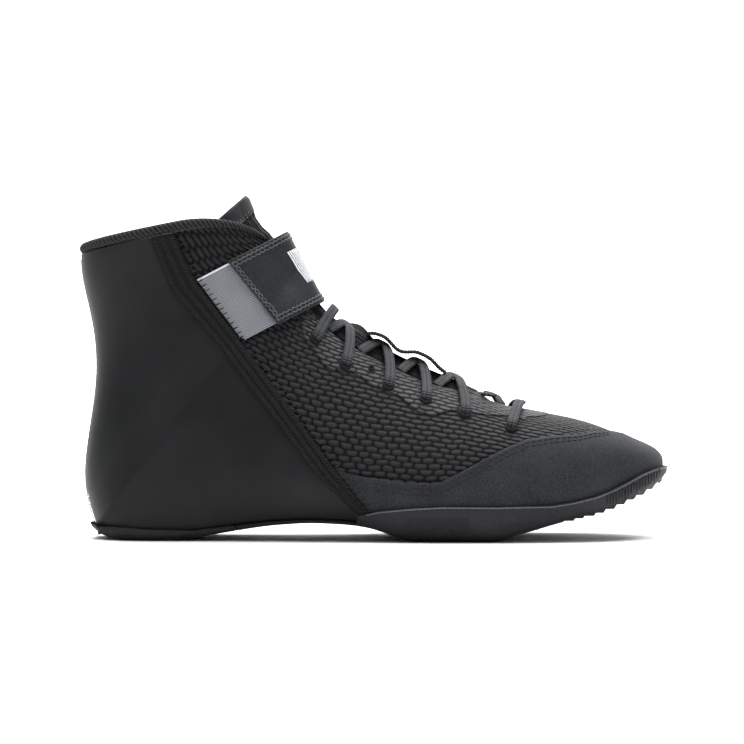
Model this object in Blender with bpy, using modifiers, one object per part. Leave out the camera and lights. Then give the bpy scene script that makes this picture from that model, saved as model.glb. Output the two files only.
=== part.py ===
"""A right-foot wrestling shoe, empty and standing on its sole.

The shoe is built round one surface, the last. Its stations are flat rings that fan out from the
toe, over the instep and round the heel, up to the collar. Every shell, binding, strap and lace
takes its place from that surface. X runs to the toe, Y to the inner side of the foot and Z up.
"""

import math
from collections import namedtuple

import bmesh
import bpy
import numpy as np
from mathutils import Matrix, Vector

# Driving sizes of the shoe, in metres
LENGTH = 0.285
SHAFT_HEIGHT = 0.167
BALL_HALF_WIDTH = 0.046
TOE_SPRING = 0.031
ARCH_RISE = 0.0087
HEEL_BEVEL = 0.008
HEEL_LIFT = 0.0015

# Walls and clearances
GAP = 0.0003
UPPER_WALL = 0.0022
OVERLAY_WALL = 0.0012
RUBBER_WALL = 0.0015
PLATE_THICKNESS = 0.0036
ARCH_PANEL_THICKNESS = 0.0018
FEATHER_SEAT = 0.0012
INSOLE_THICKNESS = 0.0035

# Throat, eyelets, tongue and bindings
THROAT_HALF_WIDTH = 0.0212
EYELET_DIAMETER = 0.0052
EYELET_INSET = 0.0085
TONGUE_THICKNESS = 0.0038
TONGUE_HALF_WIDTH = 0.034
TONGUE_BULGE = 0.0022
TONGUE_SOFT = 0.0165
TONGUE_LEAN = 0.0030
TONGUE_BINDING_WALL = 0.0005
BINDING_DIAMETER = 0.0050

# Strap and laces
STRAP_WIDTH = 0.0385
STRAP_THICKNESS = 0.0022
ELASTIC_THICKNESS = 0.0012
STRAP_STAND_OFF = 0.0040
LACE_WIDTH = 0.0050
LACE_THICKNESS = 0.0019

# Tread
RIB_PITCH = 0.0050
RIB_DEPTH = 0.0013
FOREFOOT_CORNER = 0.016
HEEL_CORNER = 0.010
PART_GAP = 0.0004

STACK = OVERLAY_WALL + 3 * GAP
PATCH_GAP = 0.0008

# One row for each station of the last. base_x and crest_x are shares of LENGTH, base_z and
# crest_z of SHAFT_HEIGHT, half_width and crest_y of BALL_HALF_WIDTH, belly of the ring's height.
# The base of a foot station lies on the footbed, so only the stations of the heel give base_z.
Station = namedtuple("Station", "base_x base_z crest_x crest_z half_width belly crest_y roundness")
STATIONS = (
    Station(0.9877, None, 0.9888, 0.2216, 0.98, 0.38, 0.14, 2.4),
    Station(0.9737, None, 0.9761, 0.2551, 0.98, 0.38, 0.13, 2.4),
    Station(0.9316, None, 0.9361, 0.2874, 0.98, 0.36, 0.12, 2.4),
    Station(0.8649, None, 0.8709, 0.3341, 0.98, 0.34, 0.11, 2.4),
    Station(0.7825, None, 0.7930, 0.3653, 0.985, 0.30, 0.10, 2.3),
    Station(0.6982, None, 0.7158, 0.3952, 1.000, 0.26, 0.09, 2.2),
    Station(0.6140, None, 0.6456, 0.4479, 0.985, 0.23, 0.09, 2.1),
    Station(0.5298, None, 0.5789, 0.4952, 0.924, 0.22, 0.08, 2.0),
    Station(0.4456, None, 0.5175, 0.5449, 0.859, 0.22, 0.07, 2.0),
    Station(0.3614, None, 0.4649, 0.5904, 0.804, 0.25, 0.04, 2.0),
    Station(0.2737, None, 0.4246, 0.6365, 0.778, 0.29, 0.02, 2.0),
    Station(0.1825, None, 0.3965, 0.6886, 0.761, 0.33, 0.00, 2.0),
    Station(0.0842, None, 0.3747, 0.7455, 0.746, 0.35, 0.00, 2.1),
    Station(0.0298, None, 0.3596, 0.7844, 0.728, 0.36, 0.00, 2.1),
    Station(0.0130, 0.0960, 0.3484, 0.8156, 0.717, 0.40, 0.00, 2.2),
    Station(0.0053, 0.2036, 0.3386, 0.8431, 0.707, 0.43, 0.00, 2.2),
    Station(0.0147, 0.3413, 0.3291, 0.8695, 0.691, 0.45, 0.00, 2.2),
    Station(0.0242, 0.4790, 0.3222, 0.8875, 0.680, 0.46, 0.00, 2.2),
    Station(0.0186, 0.6228, 0.3162, 0.9033, 0.691, 0.46, 0.00, 2.2),
    Station(0.0021, 0.7545, 0.3099, 0.9195, 0.722, 0.46, 0.00, 2.2),
    Station(-0.0028, 0.8503, 0.3016, 0.9394, 0.750, 0.46, 0.00, 2.2),
    Station(-0.0053, 0.9341, 0.2867, 0.9734, 0.761, 0.46, 0.00, 2.2),
    Station(-0.0070, 0.9900, 0.2719, 1.0030, 0.765, 0.46, 0.00, 2.2),
)
HEEL_STATION = 13
LOW_ROUNDNESS = 2.1
HEEL_FULLNESS = 0.7
COLLAR_STATION = 19.76
TOP_STATION = len(STATIONS) - 1

# The footbed's outline in plan: shares of LENGTH and of BALL_HALF_WIDTH. centre is how far the
# outline's middle lies to the inner side. The round ends come from HEEL_ROUND and TOE_ROUND.
PlanRow = namedtuple("PlanRow", "along half_width centre")
PLAN = (
    PlanRow(0.030, 0.598, 0.00),
    PlanRow(0.112, 0.609, 0.00),
    PlanRow(0.182, 0.609, -0.01),
    PlanRow(0.274, 0.587, -0.04),
    PlanRow(0.361, 0.587, -0.08),
    PlanRow(0.446, 0.641, -0.09),
    PlanRow(0.530, 0.739, -0.08),
    PlanRow(0.614, 0.837, -0.05),
    PlanRow(0.698, 0.876, -0.015),
    PlanRow(0.782, 0.870, 0.02),
    PlanRow(0.865, 0.880, 0.065),
    PlanRow(0.932, 0.890, 0.11),
    PlanRow(0.988, 0.890, 0.14),
)
HEEL_ROUND = 0.088
TOE_ROUND = 0.209

# The line of the sole's underside, as shares of LENGTH and of the size that each table scales
LineRow = namedtuple("LineRow", "along share")
HEEL_BEVEL_LINE = (
    LineRow(0.000, 1.25),
    LineRow(0.012, 0.70),
    LineRow(0.026, 0.30),
    LineRow(0.048, 0.09),
    LineRow(0.078, 0.00),
)
ARCH_LINE = (
    LineRow(0.155, 0.00),
    LineRow(0.186, 0.13),
    LineRow(0.257, 0.52),
    LineRow(0.328, 0.87),
    LineRow(0.390, 1.00),
    LineRow(0.438, 0.95),
    LineRow(0.480, 0.79),
    LineRow(0.528, 0.32),
    LineRow(0.562, 0.00),
)
TOE_LINE = (
    LineRow(0.686, 0.00),
    LineRow(0.752, 0.145),
    LineRow(0.806, 0.295),
    LineRow(0.872, 0.485),
    LineRow(0.939, 0.76),
    LineRow(1.012, 1.06),
)


def slopes_monotone(xs, ys):
    """Slopes for a curve through the points that never overshoots them."""
    steps = np.diff(xs)
    rises = np.diff(ys) / steps
    slopes = np.zeros(len(xs))
    for i in range(1, len(xs) - 1):
        if rises[i - 1] * rises[i] > 0:
            before = 2 * steps[i] + steps[i - 1]
            after = steps[i] + 2 * steps[i - 1]
            slopes[i] = (before + after) / (before / rises[i - 1] + after / rises[i])
    return slopes


def hermite(xs, ys, slopes, at):
    """The cubic curve through (xs, ys) with these slopes, read at the places in at."""
    at = np.clip(at, xs[0], xs[-1])
    i = np.clip(np.searchsorted(xs, at, side="right") - 1, 0, len(xs) - 2)
    step = xs[i + 1] - xs[i]
    s = (at - xs[i]) / step
    return (
        ys[i] * (1 + 2 * s) * (1 - s) ** 2
        + slopes[i] * step * s * (1 - s) ** 2
        + ys[i + 1] * s**2 * (3 - 2 * s)
        + slopes[i + 1] * step * s**2 * (s - 1)
    )


def line_height(rows, at):
    """The height of one of the underside's lines, as a share, at these shares of LENGTH."""
    xs = np.array([row.along for row in rows])
    ys = np.array([row.share for row in rows])
    return hermite(xs, ys, slopes_monotone(xs, ys), np.asarray(at, float))


def spline_slopes(ys, start=None, end=None):
    """Slopes of the smooth cubic spline through values one station apart."""
    n = len(ys)
    matrix = np.zeros((n, n))
    right = np.zeros(n)
    for i in range(1, n - 1):
        matrix[i, i - 1 : i + 2] = (1, 4, 1)
        right[i] = 3 * (ys[i + 1] - ys[i - 1])
    if start is None:
        matrix[0, :2] = (2, 1)
        right[0] = 3 * (ys[1] - ys[0])
    else:
        matrix[0, 0] = 1
        right[0] = start
    if end is None:
        matrix[-1, -2:] = (1, 2)
        right[-1] = 3 * (ys[-1] - ys[-2])
    else:
        matrix[-1, -1] = 1
        right[-1] = end
    return np.linalg.solve(matrix, right)


def station_curve(name, at, start=None):
    """One column of STATIONS as a smooth curve along the last."""
    ys = np.array([getattr(row, name) for row in STATIONS], float)
    return hermite(np.arange(len(ys), dtype=float), ys, spline_slopes(ys, start), at)


def plan_curve(name, along):
    """One column of PLAN as a smooth curve along the length."""
    xs = np.array([row.along for row in PLAN])
    ys = np.array([getattr(row, name) for row in PLAN])
    return hermite(xs, ys, np.gradient(ys, xs), along)


def round_end(distance, radius):
    """1 in the body of the plan, falling to 0 on an ellipse at its end."""
    share = np.clip(1 - distance / radius, 0, 1)
    return np.sqrt(1 - share**2)


def toe_cap(along):
    """How far the toe's rounding narrows the plan at these shares of LENGTH."""
    return round_end(STATIONS[0].base_x - along, TOE_ROUND)


def footbed_half_width(along):
    """Half the width of the footbed at these shares of LENGTH."""
    heel = round_end(along - STATIONS[HEEL_STATION].base_x, HEEL_ROUND)
    return BALL_HALF_WIDTH * plan_curve("half_width", along) * heel * toe_cap(along)


def ground_line(along):
    """Height of the sole's underside without the bevel of the heel."""
    return ARCH_RISE * line_height(ARCH_LINE, along) + TOE_SPRING * line_height(TOE_LINE, along)


def plate_thickness(along):
    """Thickness of what lies under the footbed: rubber plates, and the thinner arch panel."""
    arch = line_height(ARCH_LINE, along)
    return PLATE_THICKNESS + (ARCH_PANEL_THICKNESS - PLATE_THICKNESS) * arch


def plate_top(along):
    """Height of the surface that the insole lies on."""
    return ground_line(along) + plate_thickness(along)


def feather_top(along):
    """Height of the upper's lower edge: just above the plates, lifted round the heel."""
    lift = np.clip((0.11 - along) / 0.08, 0, 1)
    return plate_top(along) + FEATHER_SEAT + HEEL_LIFT * lift**2 * (3 - 2 * lift)


def base_line(at):
    """Where the rings start, as x and z: along the footbed, then up the back of the heel."""
    foot = np.array([row.base_x for row in STATIONS[: HEEL_STATION + 1]])
    back_x = np.array([row.base_x for row in STATIONS[HEEL_STATION:]])
    corner_z = feather_top(STATIONS[HEEL_STATION].base_x) / SHAFT_HEIGHT
    back_z = np.array([corner_z] + [row.base_z for row in STATIONS[HEEL_STATION + 1 :]])
    rows = np.arange(len(foot), dtype=float)
    foot_x = hermite(rows, foot, spline_slopes(foot, 0.0, 0.0), at)
    rows = np.arange(len(back_x), dtype=float)
    above = np.maximum(at - HEEL_STATION, 0)
    back = at > HEEL_STATION
    along = np.where(back, hermite(rows, back_x, spline_slopes(back_x, 0.0), above), foot_x)
    high = SHAFT_HEIGHT * hermite(rows, back_z, spline_slopes(back_z, 0.0), above)
    return along * LENGTH, np.where(back, high, feather_top(foot_x))


class Last:
    """The outer surface of the upper: a station picks the ring, a share the place on its side."""

    def __init__(self, at):
        """Works out the rings at these stations."""
        self.at = np.asarray(at, float)
        self.base_x, self.base_z = base_line(self.at)
        along = self.base_x / LENGTH
        self.crest_x = LENGTH * station_curve("crest_x", self.at, 0.0)
        self.crest_z = SHAFT_HEIGHT * station_curve("crest_z", self.at)
        foot = self.at <= HEEL_STATION
        cap = np.where(foot, toe_cap(along), 1.0)
        self.wide = BALL_HALF_WIDTH * station_curve("half_width", self.at) * cap
        self.foot = np.where(foot, footbed_half_width(along), 0.0)
        self.height = np.hypot(self.crest_x - self.base_x, self.crest_z - self.base_z)
        self.belly = self.height * station_curve("belly", self.at)
        self.roundness = station_curve("roundness", self.at)
        self.low = LOW_ROUNDNESS + HEEL_FULLNESS * np.exp(-(((self.at - HEEL_STATION) / 1.2) ** 2))
        self.base_y = BALL_HALF_WIDTH * np.where(foot, plan_curve("centre", along), 0.0)
        self.crest_y = BALL_HALF_WIDTH * station_curve("crest_y", self.at)
        below = np.hypot(self.wide - self.foot, self.belly)
        above = np.hypot(self.wide, self.height - self.belly)
        self.turn = below / (below + above)
        self.upper_arc = above

    def points(self, share, side):
        """Points at these shares of the side's arc, from the footbed at 0 to the crest at 1."""
        wide = np.maximum(self.wide, 1e-9)
        low = self.low
        inset = np.clip(self.foot / wide, 0, 0.995) ** low
        depth = self.belly / (1 - inset) ** (1 / low)
        start = np.arccos(np.sqrt(inset))
        under = np.clip(1 - share / self.turn, 0, 1) * start
        over = np.clip((share - self.turn) / (1 - self.turn), 0, 1) * math.pi / 2
        lower = share < self.turn
        power = np.where(lower, 2 / low, 2 / self.roundness)
        angle = np.where(lower, under, over)
        out = wide * np.clip(np.cos(angle), 0, 1) ** power
        rise = np.clip(np.sin(angle), 0, 1) ** power
        up = np.where(lower, self.belly - depth * rise, self.belly + (self.height - self.belly) * rise)
        up = np.clip(up / self.height, 0, 1)
        x = self.base_x + (self.crest_x - self.base_x) * up
        z = self.base_z + (self.crest_z - self.base_z) * up
        y = self.base_y + (self.crest_y - self.base_y) * up + side * out
        return np.stack(np.broadcast_arrays(x, y, z), axis=-1)

    def share_at(self, up):
        """The share of the arc where a side reaches this share of its ring's height."""
        wide = np.maximum(self.wide, 1e-9)
        low = self.low
        inset = np.clip(self.foot / wide, 0, 0.995) ** low
        depth = self.belly / (1 - inset) ** (1 / low)
        start = np.arccos(np.sqrt(inset))
        high = np.clip(up, 0, 1) * self.height
        under = np.clip((self.belly - high) / depth, 0, 1) ** (low / 2)
        over = np.clip((high - self.belly) / (self.height - self.belly), 0, 1) ** (self.roundness / 2)
        low_share = self.turn * (1 - np.arcsin(under) / start)
        high_share = self.turn + (1 - self.turn) * np.arcsin(over) / (math.pi / 2)
        return np.clip(np.where(high < self.belly, low_share, high_share), 0, 1)

    def line_share(self, rows):
        """The share at which each ring crosses a side line, or 0 or 1 where it passes below or above."""
        line_x = LENGTH * np.array([row.along for row in rows])
        line_z = SHAFT_HEIGHT * np.array([row.up for row in rows])
        shares = []
        rings = zip(self.base_x, self.base_z, self.crest_x, self.crest_z)
        for base_x, base_z, crest_x, crest_z in rings:
            run_x, run_z = crest_x - base_x, crest_z - base_z
            side = (line_x - base_x) * run_z - (line_z - base_z) * run_x
            up = ((line_x - base_x) * run_x + (line_z - base_z) * run_z) / (run_x**2 + run_z**2)
            crossing = np.nonzero(side[:-1] * side[1:] <= 0)[0]
            if len(crossing):
                i = crossing[0]
                part = side[i] / (side[i] - side[i + 1] + 1e-15)
                shares.append(up[i] + part * (up[i + 1] - up[i]))
            else:
                shares.append(up[np.argmin(np.abs(side))])
        return self.share_at(np.array(shares))


# Lines drawn on the shoe's side: along is a share of LENGTH and up a share of SHAFT_HEIGHT
SideRow = namedtuple("SideRow", "along up")
SEAM_LINE = (
    SideRow(0.1340, 0.9830),
    SideRow(0.1622, 0.8701),
    SideRow(0.1926, 0.7504),
    SideRow(0.2706, 0.5683),
    SideRow(0.3547, 0.3788),
    SideRow(0.4300, 0.2067),
    SideRow(0.4569, 0.1500),
    SideRow(0.4860, 0.0940),
    SideRow(0.5100, 0.0200),
)
WRAP_LINE = (
    SideRow(0.4327, 0.2038),
    SideRow(0.4773, 0.1868),
    SideRow(0.5478, 0.1696),
    SideRow(0.6016, 0.1675),
    SideRow(0.6431, 0.2026),
    SideRow(0.6815, 0.2373),
    SideRow(0.7173, 0.2660),
    SideRow(0.7502, 0.2875),
    SideRow(0.7963, 0.2972),
    SideRow(0.8637, 0.3016),
    SideRow(0.8993, 0.3086),
    SideRow(0.9200, 0.3230),
)
RIM_LINE = (
    SideRow(-0.0300, 0.0517),
    SideRow(0.0144, 0.0417),
    SideRow(0.0615, 0.0370),
    SideRow(0.2016, 0.0370),
    SideRow(0.2689, 0.0400),
    SideRow(0.4402, 0.0800),
    SideRow(0.5075, 0.0970),
    SideRow(0.6092, 0.1039),
    SideRow(0.7005, 0.1022),
    SideRow(0.7886, 0.1089),
    SideRow(0.8239, 0.1164),
    SideRow(0.8593, 0.1258),
    SideRow(0.8864, 0.1397),
    SideRow(0.9138, 0.1560),
    SideRow(0.9416, 0.1782),
    SideRow(0.9614, 0.1946),
    SideRow(0.9800, 0.2080),
    SideRow(0.9990, 0.2160),
)

# Stations where parts of the shoe start and end
THROAT_STATION = 4.45
CORNER_STATIONS = 3.4
CORNER_DROP = 0.031
WRAP_END = 8.6
CUP_END = 7.75
WRAP_TIP = 2.25
WRAP_ROUND = 1.15
HEEL_CUP_START = 10.15
BAND_COLUMNS = (2, 4, 1, 2, 4)


def station_of(base_along):
    """The station whose ring starts at this share of LENGTH along the footbed."""
    at = np.linspace(0, HEEL_STATION, 400)
    x, _ = base_line(at)
    return float(np.interp(-base_along * LENGTH, -x, at))


# Half the throat's width along the stations, as shares of THROAT_HALF_WIDTH
ThroatRow = namedtuple("ThroatRow", "at wide")
THROAT_LINE = (
    ThroatRow(THROAT_STATION, 0.0),
    ThroatRow(THROAT_STATION + 0.05, 0.16),
    ThroatRow(THROAT_STATION + 0.2, 0.30),
    ThroatRow(5.2, 0.46),
    ThroatRow(5.9, 0.72),
    ThroatRow(6.7, 0.98),
    ThroatRow(7.7, 1.0),
    ThroatRow(10.0, 0.97),
    ThroatRow(14.0, 0.87),
    ThroatRow(17.0, 0.88),
    ThroatRow(20.0, 0.88),
)


def throat_share(last):
    """The share where the upper's edge lies: the crest on the vamp, the throat's edge above it."""
    at = np.array([row.at for row in THROAT_LINE])
    wide = np.array([row.wide for row in THROAT_LINE])
    width = THROAT_HALF_WIDTH * hermite(at, wide, slopes_monotone(at, wide), last.at)
    corner = np.clip((last.at - COLLAR_STATION + CORNER_STATIONS) / CORNER_STATIONS, 0, 1)
    width = width + CORNER_DROP * (1 - np.sqrt(1 - corner**2))
    return 1 - width / last.upper_arc * (1 - last.turn)


def band_marks(last):
    """The shares that bound the bands: footbed, sole rim, both sides of the seam, wrap, edge."""
    arc = last.upper_arc / (1 - last.turn)
    edge = throat_share(last)
    rim = last.line_share(RIM_LINE)
    rim = np.where(last.at > HEEL_STATION + 0.3, 0.0, np.minimum(rim, edge))
    seam = last.line_share(SEAM_LINE)
    seam = np.where(last.at < 7, 0.0, seam)
    before = np.maximum(seam - PART_GAP / arc, rim)
    after = np.where(before > rim, np.maximum(seam + PART_GAP / arc, before), before)
    wrap = last.line_share(WRAP_LINE)
    full = Last([WRAP_TIP + WRAP_ROUND]).line_share(WRAP_LINE)[0]
    tip = np.clip((last.at - WRAP_TIP) / WRAP_ROUND, 0, 1)
    wrap = np.where(tip < 1, 1 - (1 - full) * np.sqrt(tip), wrap)
    wrap = np.where(last.at > WRAP_END, 0.0, wrap)
    wrap = np.minimum(np.maximum(wrap, after), edge)
    return np.stack([np.zeros_like(edge), rim, before, after, wrap, edge])


def band_shares(last):
    """Every column of the upper's grid, as shares, with the first column of each band."""
    marks = band_marks(last)
    columns = [marks[0]]
    starts = [0]
    for low, high, count in zip(marks[:-1], marks[1:], BAND_COLUMNS):
        for i in range(1, count + 1):
            columns.append(low + (high - low) * i / count)
        starts.append(len(columns) - 1)
    return np.stack(columns, axis=1), starts


class Sheet:
    """Nets of points over the shoe, with the points that fall together welded into one."""

    def __init__(self, *nets):
        """Welds nets, each given as rows of points that turn anticlockwise seen from outside."""
        keys = {}
        self.points = []
        self.places = []
        self.faces = []
        self.cells = []
        for net, rows in enumerate(nets):
            index = np.empty(rows.shape[:2], int)
            for place in np.ndindex(index.shape):
                key = tuple(np.round(rows[place] * 5e4).astype(int))
                if key not in keys:
                    keys[key] = len(self.points)
                    self.points.append(rows[place])
                    self.places.append((net, *place))
                index[place] = keys[key]
            self.add_faces(index, net)
        self.points = np.array(self.points)
        self.normals = self.point_normals(self.faces)

    def add_faces(self, net, number):
        """Adds a net's faces, without the corners that were welded away."""
        for i in range(net.shape[0] - 1):
            for j in range(net.shape[1] - 1):
                face = (net[i, j], net[i, j + 1], net[i + 1, j + 1], net[i + 1, j])
                corners = [int(c) for k, c in enumerate(face) if c != face[k - 1]]
                if len(set(corners)) == len(corners) > 2:
                    self.faces.append(tuple(corners))
                    self.cells.append((number, i, j))

    def point_normals(self, faces):
        """The outward direction of these faces at every point."""
        normals = np.zeros_like(self.points)
        for face in faces:
            corners = self.points[list(face)]
            normal = sum(np.cross(corners[k - 1], corners[k]) for k in range(len(face)))
            for c in face:
                normals[c] += normal
        length = np.linalg.norm(normals, axis=1, keepdims=True)
        return normals / np.maximum(length, 1e-12)

    def offset(self, distance):
        """The points moved outward by a distance, which may differ from point to point."""
        return self.points + self.normals * np.reshape(distance, (-1, 1))

    def faces_where(self, wanted):
        """The faces whose cell, given as net, row and column, passes the test."""
        return [face for face, cell in zip(self.faces, self.cells) if wanted(*cell)]


def material(name, red, green, blue, roughness):
    """A plain finish."""
    finish = bpy.data.materials.new(name)
    finish.use_nodes = True
    shader = finish.node_tree.nodes["Principled BSDF"]
    shader.inputs["Base Color"].default_value = (red, green, blue, 1)
    shader.inputs["Roughness"].default_value = roughness
    return finish


def add_object(name, points, faces, finish):
    """An object with these faces, without the points that no face uses."""
    used = sorted({c for face in faces for c in face})
    place = {old: new for new, old in enumerate(used)}
    mesh = bpy.data.meshes.new(name)
    corners = [tuple(place[c] for c in face) for face in faces]
    mesh.from_pydata([tuple(points[c]) for c in used], [], corners)
    mesh.materials.append(finish)
    piece = bpy.data.objects.new(name, mesh)
    SHOE.objects.link(piece)
    return piece


def add_wall(name, points, faces, thickness, outward, finish):
    """A wall raised from a sheet, outward or inward."""
    piece = add_object(name, points, faces, finish)
    wall = piece.modifiers.new("wall", "SOLIDIFY")
    wall.thickness = thickness
    wall.offset = 1 if outward else -1
    return piece


def add_shell(name, outer, inner, faces, finish):
    """A body between two sheets that share their faces, closed along their edge."""
    count = len(outer)
    edges = {(face[k - 1], face[k]) for face in faces for k in range(len(face))}
    border = [(a, b) for a, b in edges if (b, a) not in edges]
    back = [tuple(c + count for c in reversed(face)) for face in faces]
    sides = [(b, a, a + count, b + count) for a, b in sorted(border)]
    return add_object(name, np.vstack([outer, inner]), list(faces) + back + sides, finish)


def add_bar(name, sections, finish):
    """A body lofted through rings of points, with flat ends."""
    rings, count = len(sections), len(sections[0])
    faces = []
    for i in range(rings - 1):
        for j in range(count):
            k = (j + 1) % count
            faces.append((i * count + j, i * count + k, (i + 1) * count + k, (i + 1) * count + j))
    faces.append(tuple(reversed(range(count))))
    faces.append(tuple(range((rings - 1) * count, rings * count)))
    piece = add_object(name, np.vstack(sections), faces, finish)
    turn_outward(piece)
    return piece


def turn_outward(piece):
    """Makes every face of a closed body look outward."""
    shape = bmesh.new()
    shape.from_mesh(piece.data)
    bmesh.ops.recalc_face_normals(shape, faces=shape.faces)
    shape.to_mesh(piece.data)
    shape.free()


def side_net(last, shares, side):
    """One side's net: lateral columns climb from the footbed, medial columns come down to it."""
    rows = np.stack([last.points(column, side) for column in shares.T], axis=1)
    return rows if side < 0 else rows[:, ::-1]


UPPER_STATIONS = (
    0.0, 0.3, 0.6, 0.95, 1.35, 1.8, 2.25, 2.3, 2.45, 2.8, 3.4, 3.9, 4.2, 4.45, 4.5, 4.62,
    4.85, 5.2, 5.7, 6.25, 6.78, 6.8, 7.3, 7.75, 8.2, 8.6, 9.2, 9.9, 10.6, 11.3, 12.0, 12.6, 13.0, 13.45, 13.8, 14.2,
    14.7, 15.5, 16.4, 17.3, 18.1, 18.55, 19.0, 19.3, 19.52, 19.67, 19.74, 19.76,
)
SEAM_ROWS = (6.78, 6.8)
EYELETS = (
    SideRow(0.3974, 0.5887),
    SideRow(0.4479, 0.5142),
    SideRow(0.5201, 0.4537),
    SideRow(0.5828, 0.4131),
    SideRow(0.6487, 0.3731),
    SideRow(0.7265, 0.3307),
)


def build_upper():
    """The upper, and the heel shell and the toe wrap cut from its own grid."""
    last = Last(UPPER_STATIONS)
    shares, starts = band_shares(last)
    sheet = Sheet(side_net(last, shares, -1), side_net(last, shares, 1))
    cells = shares.shape[1] - 1
    rim, before, after, wrap, _ = starts[1:]
    split = UPPER_STATIONS.index(SEAM_ROWS[0])
    last_wrap_row = UPPER_STATIONS.index(WRAP_END)

    def in_shell(net, row, column):
        """Whether a cell belongs to the heel shell."""
        return row > split and (column if net == 0 else cells - 1 - column) < before

    def in_wrap(net, row, column):
        """Whether a cell belongs to the toe wrap."""
        band = column if net == 0 else cells - 1 - column
        low = band < wrap and row < split
        return low or (row < last_wrap_row and after <= band < wrap)

    upper = add_wall("upper", sheet.points, sheet.faces, UPPER_WALL, False, MESH_CLOTH)
    cut_eyelets(upper)
    lifted = sheet.offset(GAP)
    add_wall("heel_shell", lifted, sheet.faces_where(in_shell), OVERLAY_WALL, True, SYNTHETIC)
    add_wall("toe_wrap", lifted, sheet.faces_where(in_wrap), OVERLAY_WALL, True, SUEDE)


def place_on_last(row, inset=0.0):
    """The station and the share of a point given on the side view."""
    x, z = row.along * LENGTH, row.up * SHAFT_HEIGHT
    at = np.linspace(0.5, TOP_STATION, 1200)
    last = Last(at)
    run_x, run_z = last.crest_x - last.base_x, last.crest_z - last.base_z
    side = (x - last.base_x) * run_z - (z - last.base_z) * run_x
    i = int(np.nonzero(side[:-1] * side[1:] <= 0)[0][0])
    station = at[i] + (at[i + 1] - at[i]) * side[i] / (side[i] - side[i + 1])
    ring = Last([station])
    run_x, run_z = ring.crest_x - ring.base_x, ring.crest_z - ring.base_z
    up = ((x - ring.base_x) * run_x + (z - ring.base_z) * run_z) / (run_x**2 + run_z**2)
    return station, float(ring.share_at(up)[0])


def point_and_normal(station, share, side):
    """A point of the last and the outward direction there."""
    step = 0.01
    ring = Last([station - step, station, station + step])
    share = np.array([share])
    here = ring.points(share, side)[1]
    along = ring.points(share, side)[2] - ring.points(share, side)[0]
    across = ring.points(share + step, side)[1] - ring.points(share - step, side)[1]
    normal = np.cross(along, across) * side
    return here, normal / np.linalg.norm(normal)


def cut_eyelets(upper):
    """Punches the lace holes through the upper, all with one tool."""
    punch = bmesh.new()
    for row in EYELETS:
        station, share = place_on_last(row)
        for side in (-1, 1):
            centre, normal = point_and_normal(station, share, side)
            turn = Vector(normal).to_track_quat("Z", "Y").to_matrix().to_4x4()
            turn.translation = Vector(centre)
            bmesh.ops.create_cone(
                punch,
                cap_ends=True,
                segments=10,
                radius1=EYELET_DIAMETER / 2,
                radius2=EYELET_DIAMETER / 2,
                depth=6 * UPPER_WALL,
                matrix=turn,
            )
    mesh = bpy.data.meshes.new("eyelet_punch")
    punch.to_mesh(mesh)
    punch.free()
    tool = bpy.data.objects.new("eyelet_punch", mesh)
    CUTTERS.objects.link(tool)
    tool.hide_render = True
    tool.display_type = "WIRE"
    cut = upper.modifiers.new("eyelets", "BOOLEAN")
    cut.operation = "DIFFERENCE"
    cut.solver = "EXACT"
    cut.object = tool


# The rubber cups and the panel between them
FLOOR_COLUMNS = (0.96, 0.55, 0.0, -0.55, -0.96)
CUP_ROWS = 2


def cup_stations(first, end, count):
    """Stations spaced evenly between two places."""
    return list(np.linspace(first, end, count))


def build_cup(name, stations, levels, walls, finish):
    """A sole part under the footbed, with walls that climb to the rim line where it has any."""
    last = Last(stations)
    closed = (last.at <= 1e-6) | (last.at >= HEEL_STATION - 1e-6)
    rim = last.line_share(RIM_LINE) if walls else np.zeros(len(stations))
    rim = np.clip(rim, 0, 1)
    climb = [rim * i / CUP_ROWS for i in range(CUP_ROWS + 1)] if walls else [rim]
    outer_side = [last.points(share, -1) for share in climb]
    inner_side = [last.points(share, 1) for share in climb]
    along = last.base_x / LENGTH
    floor = []
    for share in FLOOR_COLUMNS:
        y = last.base_y + share * last.foot
        z = np.where(closed, last.base_z, plate_top(along))
        floor.append(np.stack([last.base_x, y, z], axis=1))
    columns = inner_side[::-1] + floor + outer_side
    rows = np.stack(columns, axis=1)
    is_floor = np.zeros(rows.shape[:2], bool)
    is_floor[:, len(climb) : len(climb) + len(floor)] = ~closed[:, None]
    sheet = Sheet(rows)
    flat = np.array([is_floor[row, column] for _, row, column in sheet.places])
    number = np.array([row for _, row, _ in sheet.places])
    sides = len(climb)
    beyond = sides + len(floor)
    wall = sheet.faces_where(lambda _, row, column: column < sides - 1 or column >= beyond)
    wall_normals = sheet.point_normals(wall) if walls else sheet.normals
    inner = sheet.points + wall_normals * np.where(flat, 0.0, STACK)[:, None]
    outer = sheet.offset(np.where(flat, 0.0, STACK + RUBBER_WALL))
    inner[flat, 2] = plate_top(along[number[flat]])
    outer[flat, 2] = np.asarray(levels)[number[flat]]
    add_shell(name, outer, inner, sheet.faces, finish)


def underside(along):
    """Height of the sole's underside with the bevel of the heel."""
    return ground_line(along) + HEEL_BEVEL * line_height(HEEL_BEVEL_LINE, along)


def base_along(stations):
    """Where stations stand along the footbed, as shares of LENGTH."""
    return base_line(np.asarray(stations, float))[0] / LENGTH


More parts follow.
